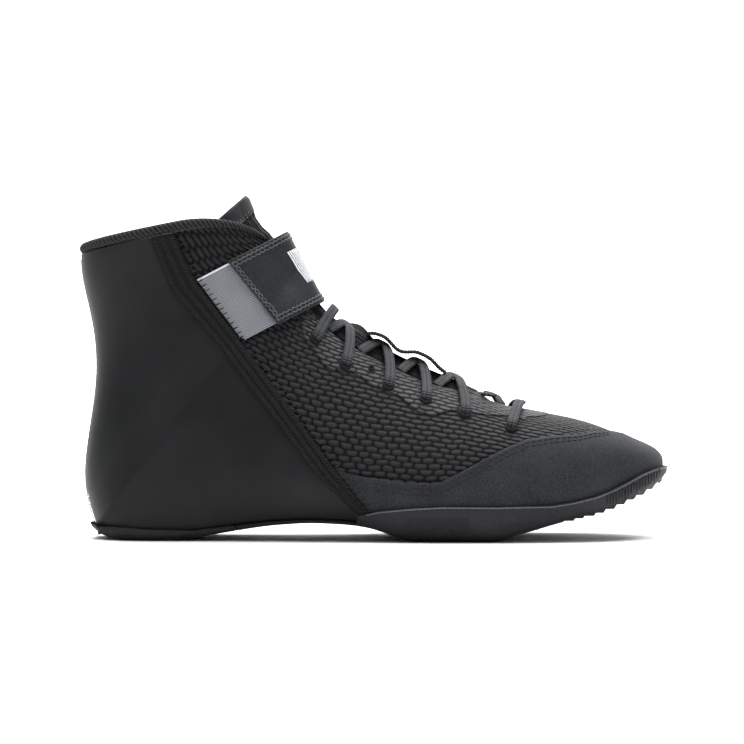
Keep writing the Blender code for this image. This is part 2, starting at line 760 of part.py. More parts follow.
def build_soles():
    """The forefoot rubber with its ribs, the heel rubber and the arch panel between them."""
    rib = RIB_PITCH / LENGTH
    ribs = np.arange(0.812, 0.975, rib)
    stations = [0.0, 0.35]
    levels = [0.0, 0.0]
    for place in ribs[::-1]:
        front, back = station_of(place + 0.0012), station_of(place)
        stations += [front, back]
        levels += [underside(place + 0.35 * rib), underside(place - 0.65 * rib)]
    levels[0] = levels[1] = float(underside(ribs[-1] + 0.35 * rib))
    rear = cup_stations(stations[-1], CUP_END, 15)[1:]
    stations += rear
    levels += [float(underside(base_along([at])[0])) for at in rear]
    build_cup("outsole_forefoot", stations, levels, True, RUBBER)
    stations = cup_stations(HEEL_CUP_START, 12.55, 9) + [12.7, 12.85, 12.94, 13.0, 13.1, 13.2, 13.35]
    levels = [float(underside(along)) for along in base_along(stations)]
    build_cup("outsole_heel", stations, levels, True, RUBBER)
    gap = 0.02
    stations = cup_stations(CUP_END + gap, HEEL_CUP_START - gap, 9)
    levels = [float(underside(along)) for along in base_along(stations)]
    build_cup("arch_panel", stations, levels, False, SYNTHETIC)


def build_insole():
    """The loose footbed inside the upper."""
    last = Last([1.4, 1.6, 1.8, *np.linspace(2.1, 11.7, 23), 11.95, 12.05])
    slant = np.gradient(last.foot, last.base_x)
    half = last.foot - (UPPER_WALL + 0.0019) * np.sqrt(1 + slant**2)
    sections = []
    for x, y, width in zip(last.base_x, last.base_y, half):
        floor = float(plate_top(x / LENGTH)) + 2 * GAP
        top = floor + INSOLE_THICKNESS
        ring = [(x, y - width, floor), (x, y + width, floor), (x, y + width, top), (x, y, top)]
        sections.append(ring + [(x, y - width, top)])
    add_bar("insole", sections, INSOLE_CLOTH)


def arc_share(last, distance):
    """The share that lies this far from the crest."""
    return 1 - distance * (1 - last.turn) / last.upper_arc


# The tongue runs from under the vamp to its bound top edge
TONGUE_START = 3.75
TONGUE_TOP = 22.0
TONGUE_SIDE_DROP = 1.7
BINDING_STATIONS = 1.25
TONGUE_COLUMNS = (1.0, 0.70, 0.42, 0.20, 0.0)


def tongue_nets(rows, low, high, extra):
    """The tongue between two distances from its start, and how deep each point lies."""
    across = np.array(TONGUE_COLUMNS + TONGUE_COLUMNS[-2::-1])
    top = TONGUE_TOP - TONGUE_SIDE_DROP * across**2
    bottom = low(top)
    end = high(top)
    at = bottom + (end - bottom) * np.asarray(rows)[:, None]
    last = Last(at)
    run = np.clip((at - TONGUE_START) / (TONGUE_TOP - TONGUE_START), 0, 1)
    far = across * TONGUE_HALF_WIDTH * (0.85 + 0.15 * run)
    share = arc_share(last, far)
    half = len(TONGUE_COLUMNS)
    outer = last.points(share, -1)[:, :half]
    inner = last.points(share, 1)[:, half:]
    open_part = np.clip((at - THROAT_STATION - 0.4) / 0.8, 0, 1)
    bulge = TONGUE_BULGE * open_part * np.clip(1 - (far / TONGUE_SOFT) ** 2, 0, 1)
    sink = 0.0013 * np.clip((at - 17.5) / 1.5, 0, 1) - TONGUE_LEAN * np.clip((at - 20.2) / 1.3, 0, 1)
    depth = UPPER_WALL + 0.0012 + sink - bulge + extra
    return np.concatenate([outer, inner], axis=1), depth


def build_tongue():
    """The padded tongue and the binding along its top edge."""
    gap = 0.18
    rows = np.linspace(0, 1, 15)
    net, depth = tongue_nets(
        rows, lambda top: 0 * top + TONGUE_START, lambda top: top - BINDING_STATIONS - gap, 0.0
    )
    sheet = Sheet(net)
    deep = np.array([depth[row, column] for _, row, column in sheet.places])
    outer = sheet.offset(-deep)
    inner = sheet.offset(-deep - TONGUE_THICKNESS)
    add_shell("tongue", outer, inner, sheet.faces, TONGUE_MESH)
    net, depth = tongue_nets(
        (0.0, 0.5, 0.85, 1.0), lambda top: top - BINDING_STATIONS, lambda top: top, 0.0
    )
    sheet = Sheet(net)
    deep = np.array([depth[row, column] for _, row, column in sheet.places])
    row_number = np.array([row for _, row, _ in sheet.places])
    round_top = np.array([0.0, 0.0, 0.0006, 0.0018])[row_number]
    outer = sheet.offset(-deep + TONGUE_BINDING_WALL - round_top)
    inner = sheet.offset(-deep - TONGUE_THICKNESS - TONGUE_BINDING_WALL + round_top)
    add_shell("tongue_binding", outer, inner, sheet.faces, BINDING_CLOTH)


def ring_section(centre, right, up, half_width, half_height, corners):
    """A ring of points round a path, as wide and high as given."""
    turn = np.arange(corners) * 2 * math.pi / corners + math.pi / corners
    return centre + np.outer(np.cos(turn), right) * half_width + np.outer(np.sin(turn), up) * half_height


def build_collar_binding():
    """The soft rope that closes the collar's edge and turns down at both front corners."""
    last = Last(UPPER_STATIONS)
    shares, _ = band_shares(last)
    top = len(UPPER_STATIONS) - 1
    start = UPPER_STATIONS.index(18.1)
    places = [(UPPER_STATIONS[i], shares[i, -1]) for i in range(start, top)]
    places += [(UPPER_STATIONS[top], share) for share in shares[top, ::-1] if share > 1e-6]
    path = []
    for side in (-1, 1):
        line = []
        for station, share in places:
            point, normal = point_and_normal(station, share, side)
            if not line or np.linalg.norm(point - line[-1][0]) > 0.0025:
                line.append((point, normal))
        if side < 0:
            path += line
            path.append(point_and_normal(COLLAR_STATION, 0.0, -1))
        else:
            path += line[::-1]
    points = np.array([point for point, _ in path])
    back = len(points) // 2
    points[back, 1] = 0.0
    path[back] = (points[back], np.array([-1.0, 0.0, 0.0]))
    tangents = np.gradient(points, axis=0)
    sections = []
    for (point, normal), tangent in zip(path, tangents):
        tangent = tangent / np.linalg.norm(tangent)
        away = np.cross(tangent, normal)
        away /= np.linalg.norm(away)
        share = np.clip((points[0, 0] - 0.004 - point[0]) / 0.035, 0, 1)
        radius = BINDING_DIAMETER * (0.27 + 0.23 * share)
        centre = point - normal * 0.0004 + away * (radius + GAP + 0.0003)
        sections.append(ring_section(centre, normal, away, radius, radius, 8))
    add_bar("collar_binding", sections, BINDING_CLOTH)


# The strap lies between two slanted planes: height above the toe line, as a share of its slope
STRAP_SLOPE = 0.54
STRAP_LOW = 0.313
STRAP_REAR_TOP = SideRow(0.2461, 0.7886)
STRAP_REAR_LOW = SideRow(0.3314, 0.6183)
STRAP_INNER_REACH = 0.05


def plane_station(level, share, side):
    """The station where a share's line passes the strap plane at this level."""
    low = np.full(len(share), 8.0)
    high = np.full(len(share), TOP_STATION - 0.01)
    for _ in range(30):
        middle = (low + high) / 2
        point = Last(middle).points(share, side)
        above = point[:, 2] - STRAP_SLOPE * point[:, 0] > level
        high = np.where(above, middle, high)
        low = np.where(above, low, middle)
    return (low + high) / 2


def strap_levels(shares):
    """Levels of the strap's planes, from its lower edge at 0 to its upper edge at 1."""
    rise = STRAP_WIDTH * math.sqrt(1 + STRAP_SLOPE**2)
    return STRAP_LOW * SHAFT_HEIGHT + rise * np.asarray(shares)


def strap_rear(across):
    """The share where the strap's outer end lies, which is straight when seen from the side."""
    span = STRAP_REAR_TOP.along - STRAP_REAR_LOW.along
    want = (STRAP_REAR_LOW.along + span * across) * LENGTH
    levels = strap_levels(across)
    low = np.full(len(across), 0.45)
    high = np.full(len(across), 0.95)
    for _ in range(24):
        middle = (low + high) / 2
        station = plane_station(levels, middle, -1)
        past = Last(station).points(middle, -1)[:, 0] > want
        high = np.where(past, middle, high)
        low = np.where(past, low, middle)
    return (low + high) / 2


def strap_strip(levels, first, end, count, side):
    """Rows of points between two shares, along the strap's planes."""
    rows = []
    for level, low, high in zip(levels, first, end):
        share = np.linspace(low, high, count)
        station = plane_station(level, share, side)
        rows.append(Last(station).points(share, side))
    return np.array(rows)


def build_strap():
    """The strap round the ankle, its elastic and the loop patch that holds it."""
    across = np.linspace(0, 1, 5)
    rear = strap_rear(across)
    reach = rear - STRAP_INNER_REACH
    levels = strap_levels(across)
    outer = strap_strip(levels, rear, np.ones(5), 10, -1)
    inner = strap_strip(levels, reach, np.ones(5), 12, 1)[:, ::-1]
    sheet = Sheet(np.concatenate([outer, inner], axis=1))
    run = np.concatenate([np.linspace(0, 1, 10), np.linspace(1, 0, 12)])
    lifts = []
    for _, row, column in sheet.places:
        bump = np.clip((run[column] - 0.35) / 0.5, 0, 1)
        bump = bump**2 * (3 - 2 * bump)
        front = 0.0010 + (STRAP_STAND_OFF - 0.0010) * across[row]
        under = ELASTIC_THICKNESS + 3 * GAP if column >= 10 else 0.0
        lifts.append(PATCH_GAP + np.maximum(front * bump, under))
    points = sheet.offset(np.array(lifts))
    add_wall("strap", points, sheet.faces, STRAP_THICKNESS, True, SYNTHETIC)
    across = np.linspace(0.03, 0.97, 4)
    levels = strap_levels(across)
    seam = [place_on_last(line_crossing(SEAM_LINE, level))[1] + 0.012 for level in levels]
    rear = strap_rear(across) - 0.006
    strip = strap_strip(levels, seam, rear, 4, -1)
    sheet = Sheet(strip)
    add_wall("strap_elastic", sheet.offset(PATCH_GAP), sheet.faces, ELASTIC_THICKNESS, True, ELASTIC)
    strip = strap_strip(levels, seam, strap_rear(across) + 0.05, 7, 1)
    sheet = Sheet(strip[:, ::-1])
    add_wall("strap_patch", sheet.offset(PATCH_GAP), sheet.faces, ELASTIC_THICKNESS, True, ELASTIC)


def line_crossing(rows, level):
    """Where a side line passes the strap plane at this level."""
    x = np.array([row.along for row in rows]) * LENGTH
    z = np.array([row.up for row in rows]) * SHAFT_HEIGHT
    side = z - STRAP_SLOPE * x - level
    i = int(np.nonzero(side[:-1] * side[1:] <= 0)[0][0])
    part = side[i] / (side[i] - side[i + 1])
    x_cross = x[i] + part * (x[i + 1] - x[i])
    z_cross = z[i] + part * (z[i + 1] - z[i])
    return SideRow(x_cross / LENGTH, z_cross / SHAFT_HEIGHT)


# A strand's run from eyelet to eyelet: across is -1 at the first eyelet, 0 at the crest and 1
# at the far eyelet. lift is the height of its lower face over the last, as a share of LACE_RISE.
StrandRow = namedtuple("StrandRow", "across lift")
STRAND = (
    StrandRow(-1.00, 0.42),
    StrandRow(-0.74, 0.42),
    StrandRow(-0.50, 0.50),
    StrandRow(-0.25, 0.55),
    StrandRow(0.00, 0.60),
    StrandRow(0.26, 0.45),
    StrandRow(0.56, -0.55),
)
TUCKED = (StrandRow(-0.40, -0.75), StrandRow(-0.15, 0.2), StrandRow(0.0, 0.4)) + STRAND[5:]
BAR = STRAND[:5] + tuple(StrandRow(-row.across, row.lift) for row in STRAND[3::-1])
RISE = (StrandRow(-1.00, 0.42), StrandRow(-0.74, 0.5), StrandRow(-0.5, 0.9), StrandRow(-0.25, 1.5))
TOP = RISE + (StrandRow(0.0, 1.9),) + tuple(StrandRow(-row.across, row.lift) for row in RISE[::-1])
LACE_RISE = 0.0018
LACE_TUCK = 0.0024


def strand_sections(start, end, side, rows):
    """Sections of a flat lace that goes from one eyelet to the eyelet across."""
    points, ups = [], []
    for row in rows:
        part = ((row.across + 1) / 2) ** 1.4
        station = start[0] + (end[0] - start[0]) * part
        here = side if row.across < 0 else -side
        share = start[1] if row.across < 0 else end[1]
        ring = Last([station])
        full = (1 - share) * float(ring.upper_arc[0]) / (1 - float(ring.turn[0]))
        reach = full * abs(row.across)
        edge = float(((1 - throat_share(ring)) * ring.upper_arc / (1 - ring.turn))[0])
        reach = min(reach, edge - LACE_TUCK) if row.lift < 0 else reach
        place = float(arc_share(ring, reach)[0])
        place = min(place, 0.995)
        point, normal = point_and_normal(station, place, here)
        if abs(row.across) < 0.01:
            point[1] = float(ring.crest_y[0])
            normal[1] = 0.0
            normal /= np.linalg.norm(normal)
        points.append(point + normal * (row.lift * LACE_RISE + LACE_THICKNESS / 2))
        ups.append(normal)
    points = np.array(points)
    tangents = np.gradient(points, axis=0)
    sections = []
    for point, up, tangent in zip(points, ups, tangents):
        tangent /= np.linalg.norm(tangent)
        right = np.cross(tangent, up)
        right /= np.linalg.norm(right)
        up = np.cross(right, tangent)
        half, thin = LACE_WIDTH / 2, LACE_THICKNESS / 2
        shape = ((half, 0), (0.7 * half, thin), (-0.7 * half, thin), (-half, 0))
        shape += ((-0.7 * half, -thin), (0.7 * half, -thin))
        sections.append([point + right * a + up * b for a, b in shape])
    return sections


def build_laces():
    """The bottom bar and the crossings of the lace, and the keeper on the tongue."""
    holes = [place_on_last(row) for row in EYELETS]
    add_bar("lace_bar", strand_sections(holes[-1], holes[-1], -1, BAR), LACE)
    add_bar("lace_top", strand_sections(holes[0], holes[0], -1, TOP), LACE)
    for number in range(len(holes) - 1):
        low, high = holes[number + 1], holes[number]
        rows = TUCKED if low is holes[-1] else STRAND
        crossing = add_bar(f"lace_cross_{number + 1}", strand_sections(low, high, -1, rows), LACE)
        other = add_bar(f"lace_join_{number + 1}", strand_sections(low, high, 1, rows), LACE)
        SHOE.objects.unlink(other)
        CUTTERS.objects.link(other)
        other.hide_render = True
        other.display_type = "WIRE"
        join = crossing.modifiers.new("join", "BOOLEAN")
        join.operation = "UNION"
        join.solver = "EXACT"
        join.object = other


KEEPER_LINE = (
    SideRow(0.4828, 0.5944),
    SideRow(0.4909, 0.5992),
    SideRow(0.5049, 0.5944),
    SideRow(0.5189, 0.5800),
    SideRow(0.5344, 0.5525),
    SideRow(0.5505, 0.5440),
    SideRow(0.5663, 0.5440),
    SideRow(0.5782, 0.5370),
    SideRow(0.5926, 0.5230),
    SideRow(0.6067, 0.4986),
    SideRow(0.6189, 0.4836),
)
KEEPER_WIDTH = 0.013


def build_keeper():
    """The webbing loop on the tongue that the lace passes under."""
    points = np.array([(row.along * LENGTH, row.up * SHAFT_HEIGHT) for row in KEEPER_LINE])
    tangents = np.gradient(points, axis=0)
    sections = []
    for (x, z), (run_x, run_z) in zip(points, tangents):
        length = math.hypot(run_x, run_z)
        down_x, down_z = run_z / length * 0.0011, -run_x / length * 0.0011
        middle = BALL_HALF_WIDTH * 0.08
        low, high = middle - KEEPER_WIDTH / 2, middle + KEEPER_WIDTH / 2
        under_x, under_z = x + down_x, z + down_z
        sections.append([(x, low, z), (x, high, z), (under_x, high, under_z), (under_x, low, under_z)])
    add_bar("lace_keeper", sections, LACE)


def centre_on_floor():
    """Moves the shoe so that the origin lies on the floor under the middle of its outline."""
    view = bpy.context.evaluated_depsgraph_get()
    corners = []
    for piece in SHOE.objects:
        corners += [corner[:] for corner in piece.evaluated_get(view).bound_box]
    low, high = np.min(corners, axis=0), np.max(corners, axis=0)
    shift = Vector((-(low[0] + high[0]) / 2, -(low[1] + high[1]) / 2, -low[2]))
    for piece in list(SHOE.objects) + list(CUTTERS.objects):
        piece.data.transform(Matrix.Translation(shift))
    print("centred by", [round(part * 1000, 4) for part in shift])


for leftover in list(bpy.data.objects):
    bpy.data.objects.remove(leftover, do_unlink=True)
SHOE = bpy.data.collections.new("wrestling_shoe")
CUTTERS = bpy.data.collections.new("cutters")
bpy.context.scene.collection.children.link(SHOE)
bpy.context.scene.collection.children.link(CUTTERS)
MESH_CLOTH = material("mesh_cloth", 0.012, 0.012, 0.013, 0.85)
SYNTHETIC = material("synthetic", 0.020, 0.021, 0.022, 0.55)
SUEDE = material("suede", 0.028, 0.031, 0.036, 0.9)
RUBBER = material("rubber", 0.026, 0.027, 0.028, 0.6)
INSOLE_CLOTH = material("insole_cloth", 0.02, 0.02, 0.02, 0.9)
TONGUE_MESH = material("tongue_mesh", 0.011, 0.011, 0.012, 0.9)
BINDING_CLOTH = material("binding_cloth", 0.05, 0.052, 0.055, 0.8)
ELASTIC = material("elastic", 0.22, 0.23, 0.25, 0.8)
LACE = material("lace", 0.09, 0.09, 0.095, 0.85)
build_upper()
build_soles()
build_insole()
build_tongue()
build_collar_binding()
build_strap()
build_laces()
build_keeper()
centre_on_floor()
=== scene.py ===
import logging
import math
from collections import namedtuple
from dataclasses import dataclass
from enum import Enum
from typing import Callable, Optional, Sequence

import bmesh
import bpy
import numpy as np
from mathutils.bvhtree import BVHTree
from mathutils import Matrix, Vector


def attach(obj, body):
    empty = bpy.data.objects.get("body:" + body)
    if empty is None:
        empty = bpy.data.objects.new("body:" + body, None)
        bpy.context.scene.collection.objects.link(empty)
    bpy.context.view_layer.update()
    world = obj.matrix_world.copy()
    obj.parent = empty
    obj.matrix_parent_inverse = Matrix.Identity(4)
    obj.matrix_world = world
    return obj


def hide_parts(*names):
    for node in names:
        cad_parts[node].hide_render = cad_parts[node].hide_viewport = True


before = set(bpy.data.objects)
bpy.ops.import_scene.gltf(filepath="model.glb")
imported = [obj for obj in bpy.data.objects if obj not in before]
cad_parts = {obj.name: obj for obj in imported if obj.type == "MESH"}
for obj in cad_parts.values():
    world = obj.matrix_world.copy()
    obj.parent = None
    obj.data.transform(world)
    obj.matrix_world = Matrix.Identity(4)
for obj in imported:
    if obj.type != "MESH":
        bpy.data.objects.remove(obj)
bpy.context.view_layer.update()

LOG = logging.getLogger("wrestling_shoe")
MM = 0.001

# The last of the solids, in metres and in shares of its length, height and width. The heel's
# corner, TOE_LINE and RIM_LINE lie a little nearer the photograph than in the solids.
LENGTH = 0.285
SHAFT_HEIGHT = 0.167
BALL_HALF_WIDTH = 0.046
TOE_SPRING = 0.031
ARCH_RISE = 0.0087
HEEL_BEVEL = 0.008
HEEL_LIFT = 0.0015
GAP = 0.0003
UPPER_WALL = 0.0022
OVERLAY_WALL = 0.0012
RUBBER_WALL = 0.0015
PLATE_THICKNESS = 0.0036
ARCH_PANEL_THICKNESS = 0.0018
FEATHER_SEAT = 0.0012
THROAT_HALF_WIDTH = 0.0212
LAST_ORIGIN = (-0.141203, 0.0001852, 0.0)
STACK = OVERLAY_WALL + 3 * GAP
WELD = 2e-5
RIB_SLOPE = 0.22

Station = namedtuple("Station", "base_x base_z crest_x crest_z half_width belly crest_y roundness")
STATIONS = (
    Station(0.9877, None, 0.9888, 0.2216, 0.98, 0.38, 0.14, 2.4),
    Station(0.9737, None, 0.9761, 0.2551, 0.98, 0.38, 0.13, 2.4),
    Station(0.9316, None, 0.9361, 0.2874, 0.98, 0.36, 0.12, 2.4),
    Station(0.8649, None, 0.8709, 0.3341, 0.98, 0.34, 0.11, 2.4),
    Station(0.7825, None, 0.7930, 0.3653, 0.985, 0.30, 0.10, 2.3),
    Station(0.6982, None, 0.7158, 0.3952, 1.000, 0.26, 0.09, 2.2),
    Station(0.6140, None, 0.6456, 0.4479, 0.985, 0.23, 0.09, 2.1),
    Station(0.5298, None, 0.5789, 0.4952, 0.924, 0.22, 0.08, 2.0),
    Station(0.4456, None, 0.5175, 0.5449, 0.859, 0.22, 0.07, 2.0),
    Station(0.3614, None, 0.4649, 0.5904, 0.804, 0.25, 0.04, 2.0),
    Station(0.2737, None, 0.4246, 0.6365, 0.778, 0.29, 0.02, 2.0),
    Station(0.1825, None, 0.3965, 0.6886, 0.761, 0.33, 0.00, 2.0),
    Station(0.0842, None, 0.3747, 0.7455, 0.746, 0.35, 0.00, 2.1),
    Station(0.0245, None, 0.3596, 0.7844, 0.728, 0.36, 0.00, 2.1),
    Station(0.0130, 0.0960, 0.3484, 0.8156, 0.717, 0.40, 0.00, 2.2),
    Station(0.0053, 0.2036, 0.3386, 0.8431, 0.707, 0.43, 0.00, 2.2),
    Station(0.0147, 0.3413, 0.3291, 0.8695, 0.691, 0.45, 0.00, 2.2),
    Station(0.0242, 0.4790, 0.3222, 0.8875, 0.680, 0.46, 0.00, 2.2),
    Station(0.0186, 0.6228, 0.3162, 0.9033, 0.691, 0.46, 0.00, 2.2),
    Station(0.0021, 0.7545, 0.3099, 0.9195, 0.722, 0.46, 0.00, 2.2),
    Station(-0.0028, 0.8503, 0.3016, 0.9394, 0.750, 0.46, 0.00, 2.2),
    Station(-0.0053, 0.9341, 0.2867, 0.9734, 0.761, 0.46, 0.00, 2.2),
    Station(-0.0070, 0.9900, 0.2719, 1.0030, 0.765, 0.46, 0.00, 2.2),
)
HEEL_STATION = 13
LOW_ROUNDNESS = 2.1
HEEL_FULLNESS = 0.7
COLLAR_STATION = 19.76
TOP_STATION = len(STATIONS) - 1
PlanRow = namedtuple("PlanRow", "along half_width centre")
PLAN = (
    PlanRow(0.030, 0.598, 0.00),
    PlanRow(0.112, 0.609, 0.00),
    PlanRow(0.182, 0.609, -0.01),
    PlanRow(0.274, 0.587, -0.04),
    PlanRow(0.361, 0.587, -0.08),
    PlanRow(0.446, 0.641, -0.09),
    PlanRow(0.530, 0.739, -0.08),
    PlanRow(0.614, 0.837, -0.05),
    PlanRow(0.698, 0.876, -0.015),
    PlanRow(0.782, 0.870, 0.02),
    PlanRow(0.865, 0.880, 0.065),
    PlanRow(0.932, 0.890, 0.11),
    PlanRow(0.988, 0.890, 0.14),
)
HEEL_ROUND = 0.088
TOE_ROUND = 0.209
LineRow = namedtuple("LineRow", "along share")
HEEL_BEVEL_LINE = (
    LineRow(0.000, 1.25),
    LineRow(0.012, 0.70),
    LineRow(0.026, 0.30),
    LineRow(0.048, 0.09),
    LineRow(0.078, 0.00),
)
ARCH_LINE = (
    LineRow(0.155, 0.00),
    LineRow(0.186, 0.13),
    LineRow(0.257, 0.52),
    LineRow(0.328, 0.87),
    LineRow(0.390, 1.00),
    LineRow(0.438, 0.95),
    LineRow(0.480, 0.79),
    LineRow(0.528, 0.32),
    LineRow(0.562, 0.00),
)
TOE_LINE = (
    LineRow(0.686, 0.00),
    LineRow(0.752, 0.145),
    LineRow(0.806, 0.285),
    LineRow(0.872, 0.430),
    LineRow(0.939, 0.675),
    LineRow(1.012, 0.950),
)
SideRow = namedtuple("SideRow", "along up")
SEAM_LINE = (
    SideRow(0.1340, 0.9830),
    SideRow(0.1622, 0.8701),
    SideRow(0.1926, 0.7504),
    SideRow(0.2706, 0.5683),
    SideRow(0.3547, 0.3788),
    SideRow(0.4300, 0.2067),
    SideRow(0.4569, 0.1500),
    SideRow(0.4860, 0.0940),
    SideRow(0.5100, 0.0200),
)
WRAP_LINE = (
    SideRow(0.4327, 0.2038),
    SideRow(0.4773, 0.1868),
    SideRow(0.5478, 0.1696),
    SideRow(0.6016, 0.1675),
    SideRow(0.6431, 0.2026),
    SideRow(0.6815, 0.2373),
    SideRow(0.7173, 0.2660),
    SideRow(0.7502, 0.2875),
    SideRow(0.7963, 0.2972),
    SideRow(0.8637, 0.3016),
    SideRow(0.8993, 0.3086),
    SideRow(0.9200, 0.3230),
)
RIM_LINE = (
    SideRow(-0.0300, 0.0640),
    SideRow(0.0144, 0.0610),
    SideRow(0.0400, 0.0510),
    SideRow(0.0700, 0.0430),
    SideRow(0.1000, 0.0390),
    SideRow(0.2016, 0.0370),
    SideRow(0.2689, 0.0400),
    SideRow(0.4402, 0.0800),
    SideRow(0.5075, 0.0970),
    SideRow(0.6092, 0.1039),
    SideRow(0.7005, 0.1030),
    SideRow(0.7886, 0.1110),
    SideRow(0.8239, 0.1205),
    SideRow(0.8593, 0.1340),
    SideRow(0.8864, 0.1500),
    SideRow(0.9138, 0.1710),
    SideRow(0.9416, 0.1930),
    SideRow(0.9614, 0.2040),
    SideRow(0.9800, 0.2100),
    SideRow(0.9990, 0.2120),
)
EYELETS = (
    SideRow(0.3974, 0.5887),
    SideRow(0.4479, 0.5142),
    SideRow(0.5201, 0.4537),
    SideRow(0.5828, 0.4131),
    SideRow(0.6487, 0.3731),
    SideRow(0.7265, 0.3307),
)
KEEPER_LINE = (
    SideRow(0.4828, 0.5944),
    SideRow(0.4909, 0.5992),
    SideRow(0.5049, 0.5944),
    SideRow(0.5189, 0.5800),
    SideRow(0.5344, 0.5525),
    SideRow(0.5505, 0.5440),
    SideRow(0.5663, 0.5440),
    SideRow(0.5782, 0.5370),
    SideRow(0.5926, 0.5230),
    SideRow(0.6067, 0.4986),
    SideRow(0.6189, 0.4836),
)


def slopes_monotone(xs: np.ndarray, ys: np.ndarray) -> np.ndarray:
    """Slopes for a curve through the points that never overshoots them."""
    steps = np.diff(xs)
    rises = np.diff(ys) / steps
    slopes = np.zeros(len(xs))
    for i in range(1, len(xs) - 1):
        if rises[i - 1] * rises[i] > 0:
            before = 2 * steps[i] + steps[i - 1]
            after = steps[i] + 2 * steps[i - 1]
            slopes[i] = (before + after) / (before / rises[i - 1] + after / rises[i])
    return slopes


def hermite(xs: np.ndarray, ys: np.ndarray, slopes: np.ndarray, at: np.ndarray) -> np.ndarray:
    """The cubic curve through (xs, ys) with these slopes, read at the places in at."""
    at = np.clip(at, xs[0], xs[-1])
    i = np.clip(np.searchsorted(xs, at, side="right") - 1, 0, len(xs) - 2)
    step = xs[i + 1] - xs[i]
    s = (at - xs[i]) / step
    return (
        ys[i] * (1 + 2 * s) * (1 - s) ** 2
        + slopes[i] * step * s * (1 - s) ** 2
        + ys[i + 1] * s**2 * (3 - 2 * s)
        + slopes[i + 1] * step * s**2 * (s - 1)
    )


def line_height(rows: Sequence[LineRow], at: np.ndarray) -> np.ndarray:
    """The height of one of the underside's lines, as a share."""
    xs = np.array([row.along for row in rows])
    ys = np.array([row.share for row in rows])
    return hermite(xs, ys, slopes_monotone(xs, ys), np.asarray(at, float))


def spline_slopes(
    ys: np.ndarray, start: Optional[float] = None, end: Optional[float] = None
) -> np.ndarray:
    """Slopes of the smooth cubic spline through values one station apart."""
    n = len(ys)
    matrix = np.zeros((n, n))
    right = np.zeros(n)
    for i in range(1, n - 1):
        matrix[i, i - 1 : i + 2] = (1, 4, 1)
        right[i] = 3 * (ys[i + 1] - ys[i - 1])
    matrix[0, :2] = (2, 1) if start is None else (1, 0)
    right[0] = 3 * (ys[1] - ys[0]) if start is None else start
    matrix[-1, -2:] = (1, 2) if end is None else (0, 1)
    right[-1] = 3 * (ys[-1] - ys[-2]) if end is None else end
    return np.linalg.solve(matrix, right)


def station_curve(name: str, at: np.ndarray, start: Optional[float] = None) -> np.ndarray:
    """One column of STATIONS as a smooth curve along the last."""
    ys = np.array([getattr(row, name) for row in STATIONS], float)
    return hermite(np.arange(len(ys), dtype=float), ys, spline_slopes(ys, start), at)


def plan_curve(name: str, along: np.ndarray) -> np.ndarray:
    """One column of PLAN as a smooth curve along the length."""
    xs = np.array([row.along for row in PLAN])
    ys = np.array([getattr(row, name) for row in PLAN])
    return hermite(xs, ys, np.gradient(ys, xs), along)


def round_end(distance: np.ndarray, radius: float) -> np.ndarray:
    """1 in the body of the plan, falling to 0 on an ellipse at its end."""
    share = np.clip(1 - distance / radius, 0, 1)
    return np.sqrt(1 - share**2)


def toe_cap(along: np.ndarray) -> np.ndarray:
    """How far the toe's rounding narrows the plan."""
    return round_end(STATIONS[0].base_x - along, TOE_ROUND)


def footbed_half_width(along: np.ndarray) -> np.ndarray:
    """Half the width of the footbed."""
    heel = round_end(along - STATIONS[HEEL_STATION].base_x, HEEL_ROUND)
    return BALL_HALF_WIDTH * plan_curve("half_width", along) * heel * toe_cap(along)


def ground_line(along: np.ndarray) -> np.ndarray:
    """Height of the sole's underside without the bevel of the heel."""
    return ARCH_RISE * line_height(ARCH_LINE, along) + TOE_SPRING * line_height(TOE_LINE, along)


def underside(along: np.ndarray) -> np.ndarray:
    """Height of the sole's underside with the bevel of the heel."""
    return ground_line(along) + HEEL_BEVEL * line_height(HEEL_BEVEL_LINE, along)


def plate_top(along: np.ndarray) -> np.ndarray:
    """Height of the surface that the insole lies on."""
    arch = line_height(ARCH_LINE, along)
    return ground_line(along) + PLATE_THICKNESS + (ARCH_PANEL_THICKNESS - PLATE_THICKNESS) * arch


def feather_top(along: np.ndarray) -> np.ndarray:
    """Height of the upper's lower edge."""
    lift = np.clip((0.11 - along) / 0.08, 0, 1)
    return plate_top(along) + FEATHER_SEAT + HEEL_LIFT * lift**2 * (3 - 2 * lift)


def base_line(at: np.ndarray) -> tuple[np.ndarray, np.ndarray]:
    """Where the rings start, as x and z: along the footbed, then up the back of the heel."""
    foot = np.array([row.base_x for row in STATIONS[: HEEL_STATION + 1]])
    back_x = np.array([row.base_x for row in STATIONS[HEEL_STATION:]])
    corner_z = feather_top(np.array(STATIONS[HEEL_STATION].base_x)) / SHAFT_HEIGHT
    back_z = np.array([float(corner_z)] + [row.base_z for row in STATIONS[HEEL_STATION + 1 :]])
    rows = np.arange(len(foot), dtype=float)
    foot_x = hermite(rows, foot, spline_slopes(foot, 0.0, 0.0), at)
    rows = np.arange(len(back_x), dtype=float)
    above = np.maximum(at - HEEL_STATION, 0)
    back = at > HEEL_STATION
    along = np.where(back, hermite(rows, back_x, spline_slopes(back_x, 0.0), above), foot_x)
    high = SHAFT_HEIGHT * hermite(rows, back_z, spline_slopes(back_z, 0.0), above)
    return along * LENGTH, np.where(back, high, feather_top(foot_x))


